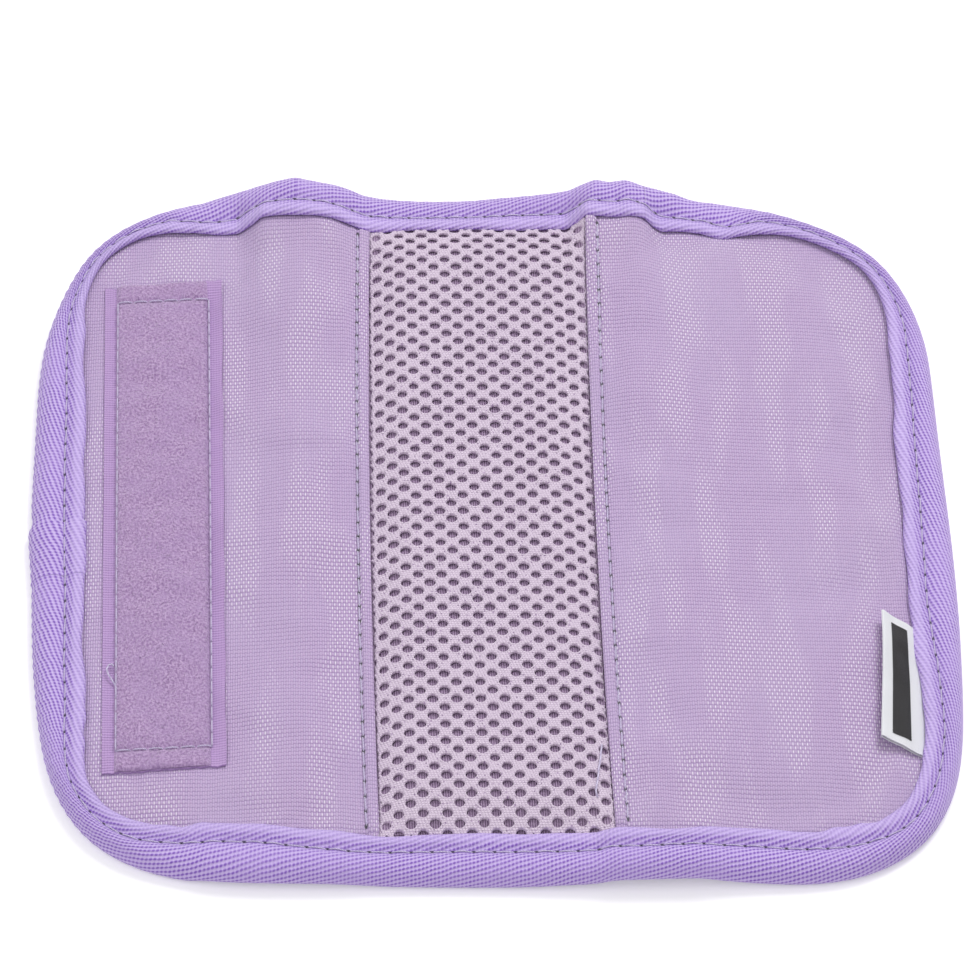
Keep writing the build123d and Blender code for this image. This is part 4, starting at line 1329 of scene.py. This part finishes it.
x, y = np.meshgrid(
    np.linspace(hook_low.x, hook_high.x, 44), np.linspace(hook_low.y, hook_high.y, 150), indexing="ij"
)
hook_tape = make_piece(
    "hook_tape_base", np.column_stack([x.ravel(), y.ravel(), hook_seat(x, y).ravel() + hook_tape_thickness]),
    grid_faces(x.shape),
    np.column_stack([x.ravel() - hook_low.x, y.ravel()]), hook_tape_thickness,
)
hook_tape.data.materials.append(selvedge.material)
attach(hook_tape, "right_outer")
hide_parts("hook_tape")

rows = np.arange(field_low.y + 0.6, field_high.y - 0.4, 1.15)
columns = np.linspace(field_low.x + 0.5, field_high.x - 0.5, 17)
across, along = (a.ravel() for a in np.meshgrid(columns, rows, indexing="ij"))
facing = np.where(np.arange(len(columns)) % 2 == 0, 1.0, -1.0).repeat(len(rows))
bend_x = np.array([-0.12, -0.12, -0.02, 0.16, 0.24])
drop = np.array([0.05, -0.22, -0.36, -0.34, -0.20])
hooks = np.stack([
    across[:, None] + facing[:, None] * bend_x[None],
    np.broadcast_to(along[:, None], (len(along), 5)),
    hook_seat(across, along)[:, None] + drop[None],
], -1)
moulded = Finish("hook_nylon", (0.50, 0.38, 0.66), 0.35, gloss=0.5)
moulded_spot, *_ = moulded.flat()
hook_nylon = moulded.finish(
    moulded.blend(moulded.cloud(moulded_spot, 0.8), (0.40, 0.29, 0.57), (0.58, 0.46, 0.72))
)
hook_radii = np.array([0.10, 0.085, 0.075, 0.065, 0.045])
hook_field = fibres("hook_rows", hooks, hook_radii[None], hook_nylon, (0, 1, 0), 4)
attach(hook_field, "right_outer")
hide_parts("hook_field")

hook_stitch_in = 1.3
hook_runs = sewn_rectangle(
    (hook_low.x + hook_stitch_in, hook_low.y + hook_stitch_in),
    (hook_high.x - hook_stitch_in, hook_high.y - hook_stitch_in), 0.03,
)
arc = np.sin(math.pi * np.linspace(0, 1, 8))
z = hook_seat(hook_runs[..., 0], hook_runs[..., 1]) - 0.06 - 0.10 * arc + 0.2 * (1 - arc) ** 4
hook_stitching = fibres(
    "hook_tape_stitching", np.concatenate([hook_runs, z[..., None]], -1), 0.14, sewing_thread
)
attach(hook_stitching, "right_outer")
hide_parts("hook_tape_stitches")

# ---------------------------------------------------------------- loose thread
# A short end of sewing thread left lying on the mesh beside the right fold.
loose_x = np.array([20.6, 20.3, 20.1, 19.7, 19.5, 19.2, 18.9, 19.2])
loose_y = np.array([-59.5, -61.5, -63.5, -65.5, -67.5, -69.3, -71.0, -72.4])
loose_z = mesh_height(loose_x, loose_y) + np.array([0.25, 0.45, 0.5, 0.35, 0.3, 0.35, 0.3, 0.05])
loose_thread = fibres("loose_thread", np.stack([loose_x, loose_y, loose_z], -1)[None], 0.2, sewing_thread)
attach(loose_thread, "centre")

# ------------------------------------------------------------- table and light
# A plain white table top under even studio light from large soft lamps.
table_mesh = bpy.data.meshes.new("table_top")
table_mesh.from_pydata([(-6, -6, 0), (6, -6, 0), (6, 6, 0), (-6, 6, 0)], [], [(0, 1, 2, 3)])
table_top = bpy.data.objects.new("table_top", table_mesh)
bpy.context.scene.collection.objects.link(table_top)
table = Finish("table_white", (0.93, 0.93, 0.935), 0.7, gloss=0.1)
seen_by = table.node("LightPath")
direct = table.math("MAXIMUM", seen_by.outputs["Is Camera Ray"], seen_by.outputs["Is Glossy Ray"])
direct = table.math("MAXIMUM", direct, seen_by.outputs["Is Transmission Ray"])
glow = table.node("Emission", Color=(1, 1, 1), Strength=table.times(direct, 0.25))
both = table.node("AddShader")
table.tree.links.new(table.surface.outputs[0], both.inputs[0])
table.tree.links.new(glow.outputs[0], both.inputs[1])
table.tree.links.new(both.outputs[0], table.tree.nodes["Material Output"].inputs[0])
table_mesh.materials.append(table.material)

world = bpy.data.worlds.new("studio")
world.use_nodes = True
bpy.context.scene.world = world
sky = world.node_tree
sky_light = sky.nodes["Background"]
sky_light.inputs["Color"].default_value = (1.0, 1.0, 1.0, 1)
sky_light.inputs["Strength"].default_value = 0.58
sky_seen = sky.nodes.new("ShaderNodeBackground")
sky_path = sky.nodes.new("ShaderNodeLightPath")
sky_most = sky.nodes.new("ShaderNodeMath")
sky_most.operation = "MAXIMUM"
sky_mix = sky.nodes.new("ShaderNodeMixShader")
sky.links.new(sky_path.outputs["Is Camera Ray"], sky_most.inputs[0])
sky.links.new(sky_path.outputs["Is Transmission Ray"], sky_most.inputs[1])
sky.links.new(sky_most.outputs[0], sky_mix.inputs[0])
sky.links.new(sky_light.outputs[0], sky_mix.inputs[1])
sky.links.new(sky_seen.outputs[0], sky_mix.inputs[2])
sky.links.new(sky_mix.outputs[0], sky.nodes["World Output"].inputs[0])

for name, place, size, power in (
    ("key_lamp", (0.55, 0.75, 1.25), 0.7, 12.8),
    ("fill_lamp", (-0.9, -0.5, 1.3), 1.1, 5.8),
):
    lamp = bpy.data.lights.new(name, "AREA")
    lamp.size = size
    lamp.energy = power
    lamp_object = bpy.data.objects.new(name, lamp)
    lamp_object.location = place
    lamp_object.rotation_euler = (-Vector(place)).to_track_quat("-Z", "Y").to_euler()
    bpy.context.scene.collection.objects.link(lamp_object)

# -------------------------------------------------------------------- camera
# A long lens looking down at the open pad from the front.
elevation, turn, roll, distance = (math.radians(52), math.radians(-3.556), math.radians(2.543), 1.0506)
ahead = Vector((-math.sin(turn), math.cos(turn), 0))
sideways = Vector((math.cos(turn), math.sin(turn), 0))
looking = math.cos(elevation) * ahead - math.sin(elevation) * Vector((0, 0, 1))
upwards = math.sin(elevation) * ahead + math.cos(elevation) * Vector((0, 0, 1))
camera_right = math.cos(roll) * sideways + math.sin(roll) * upwards
camera_up = -math.sin(roll) * sideways + math.cos(roll) * upwards
camera = bpy.data.cameras.new("camera")
camera.lens = 185.12
camera.sensor_width = 36
camera.shift_x = -0.0002
camera.shift_y = 0.0434
camera.clip_start = 0.05
camera_object = bpy.data.objects.new("camera", camera)
camera_object.matrix_world = Matrix.Translation(-distance * looking) @ Matrix(
    (camera_right, camera_up, -looking)
).transposed().to_4x4()
bpy.context.scene.collection.objects.link(camera_object)
bpy.context.scene.camera = camera_object
bpy.context.scene.view_settings.view_transform = "Standard"
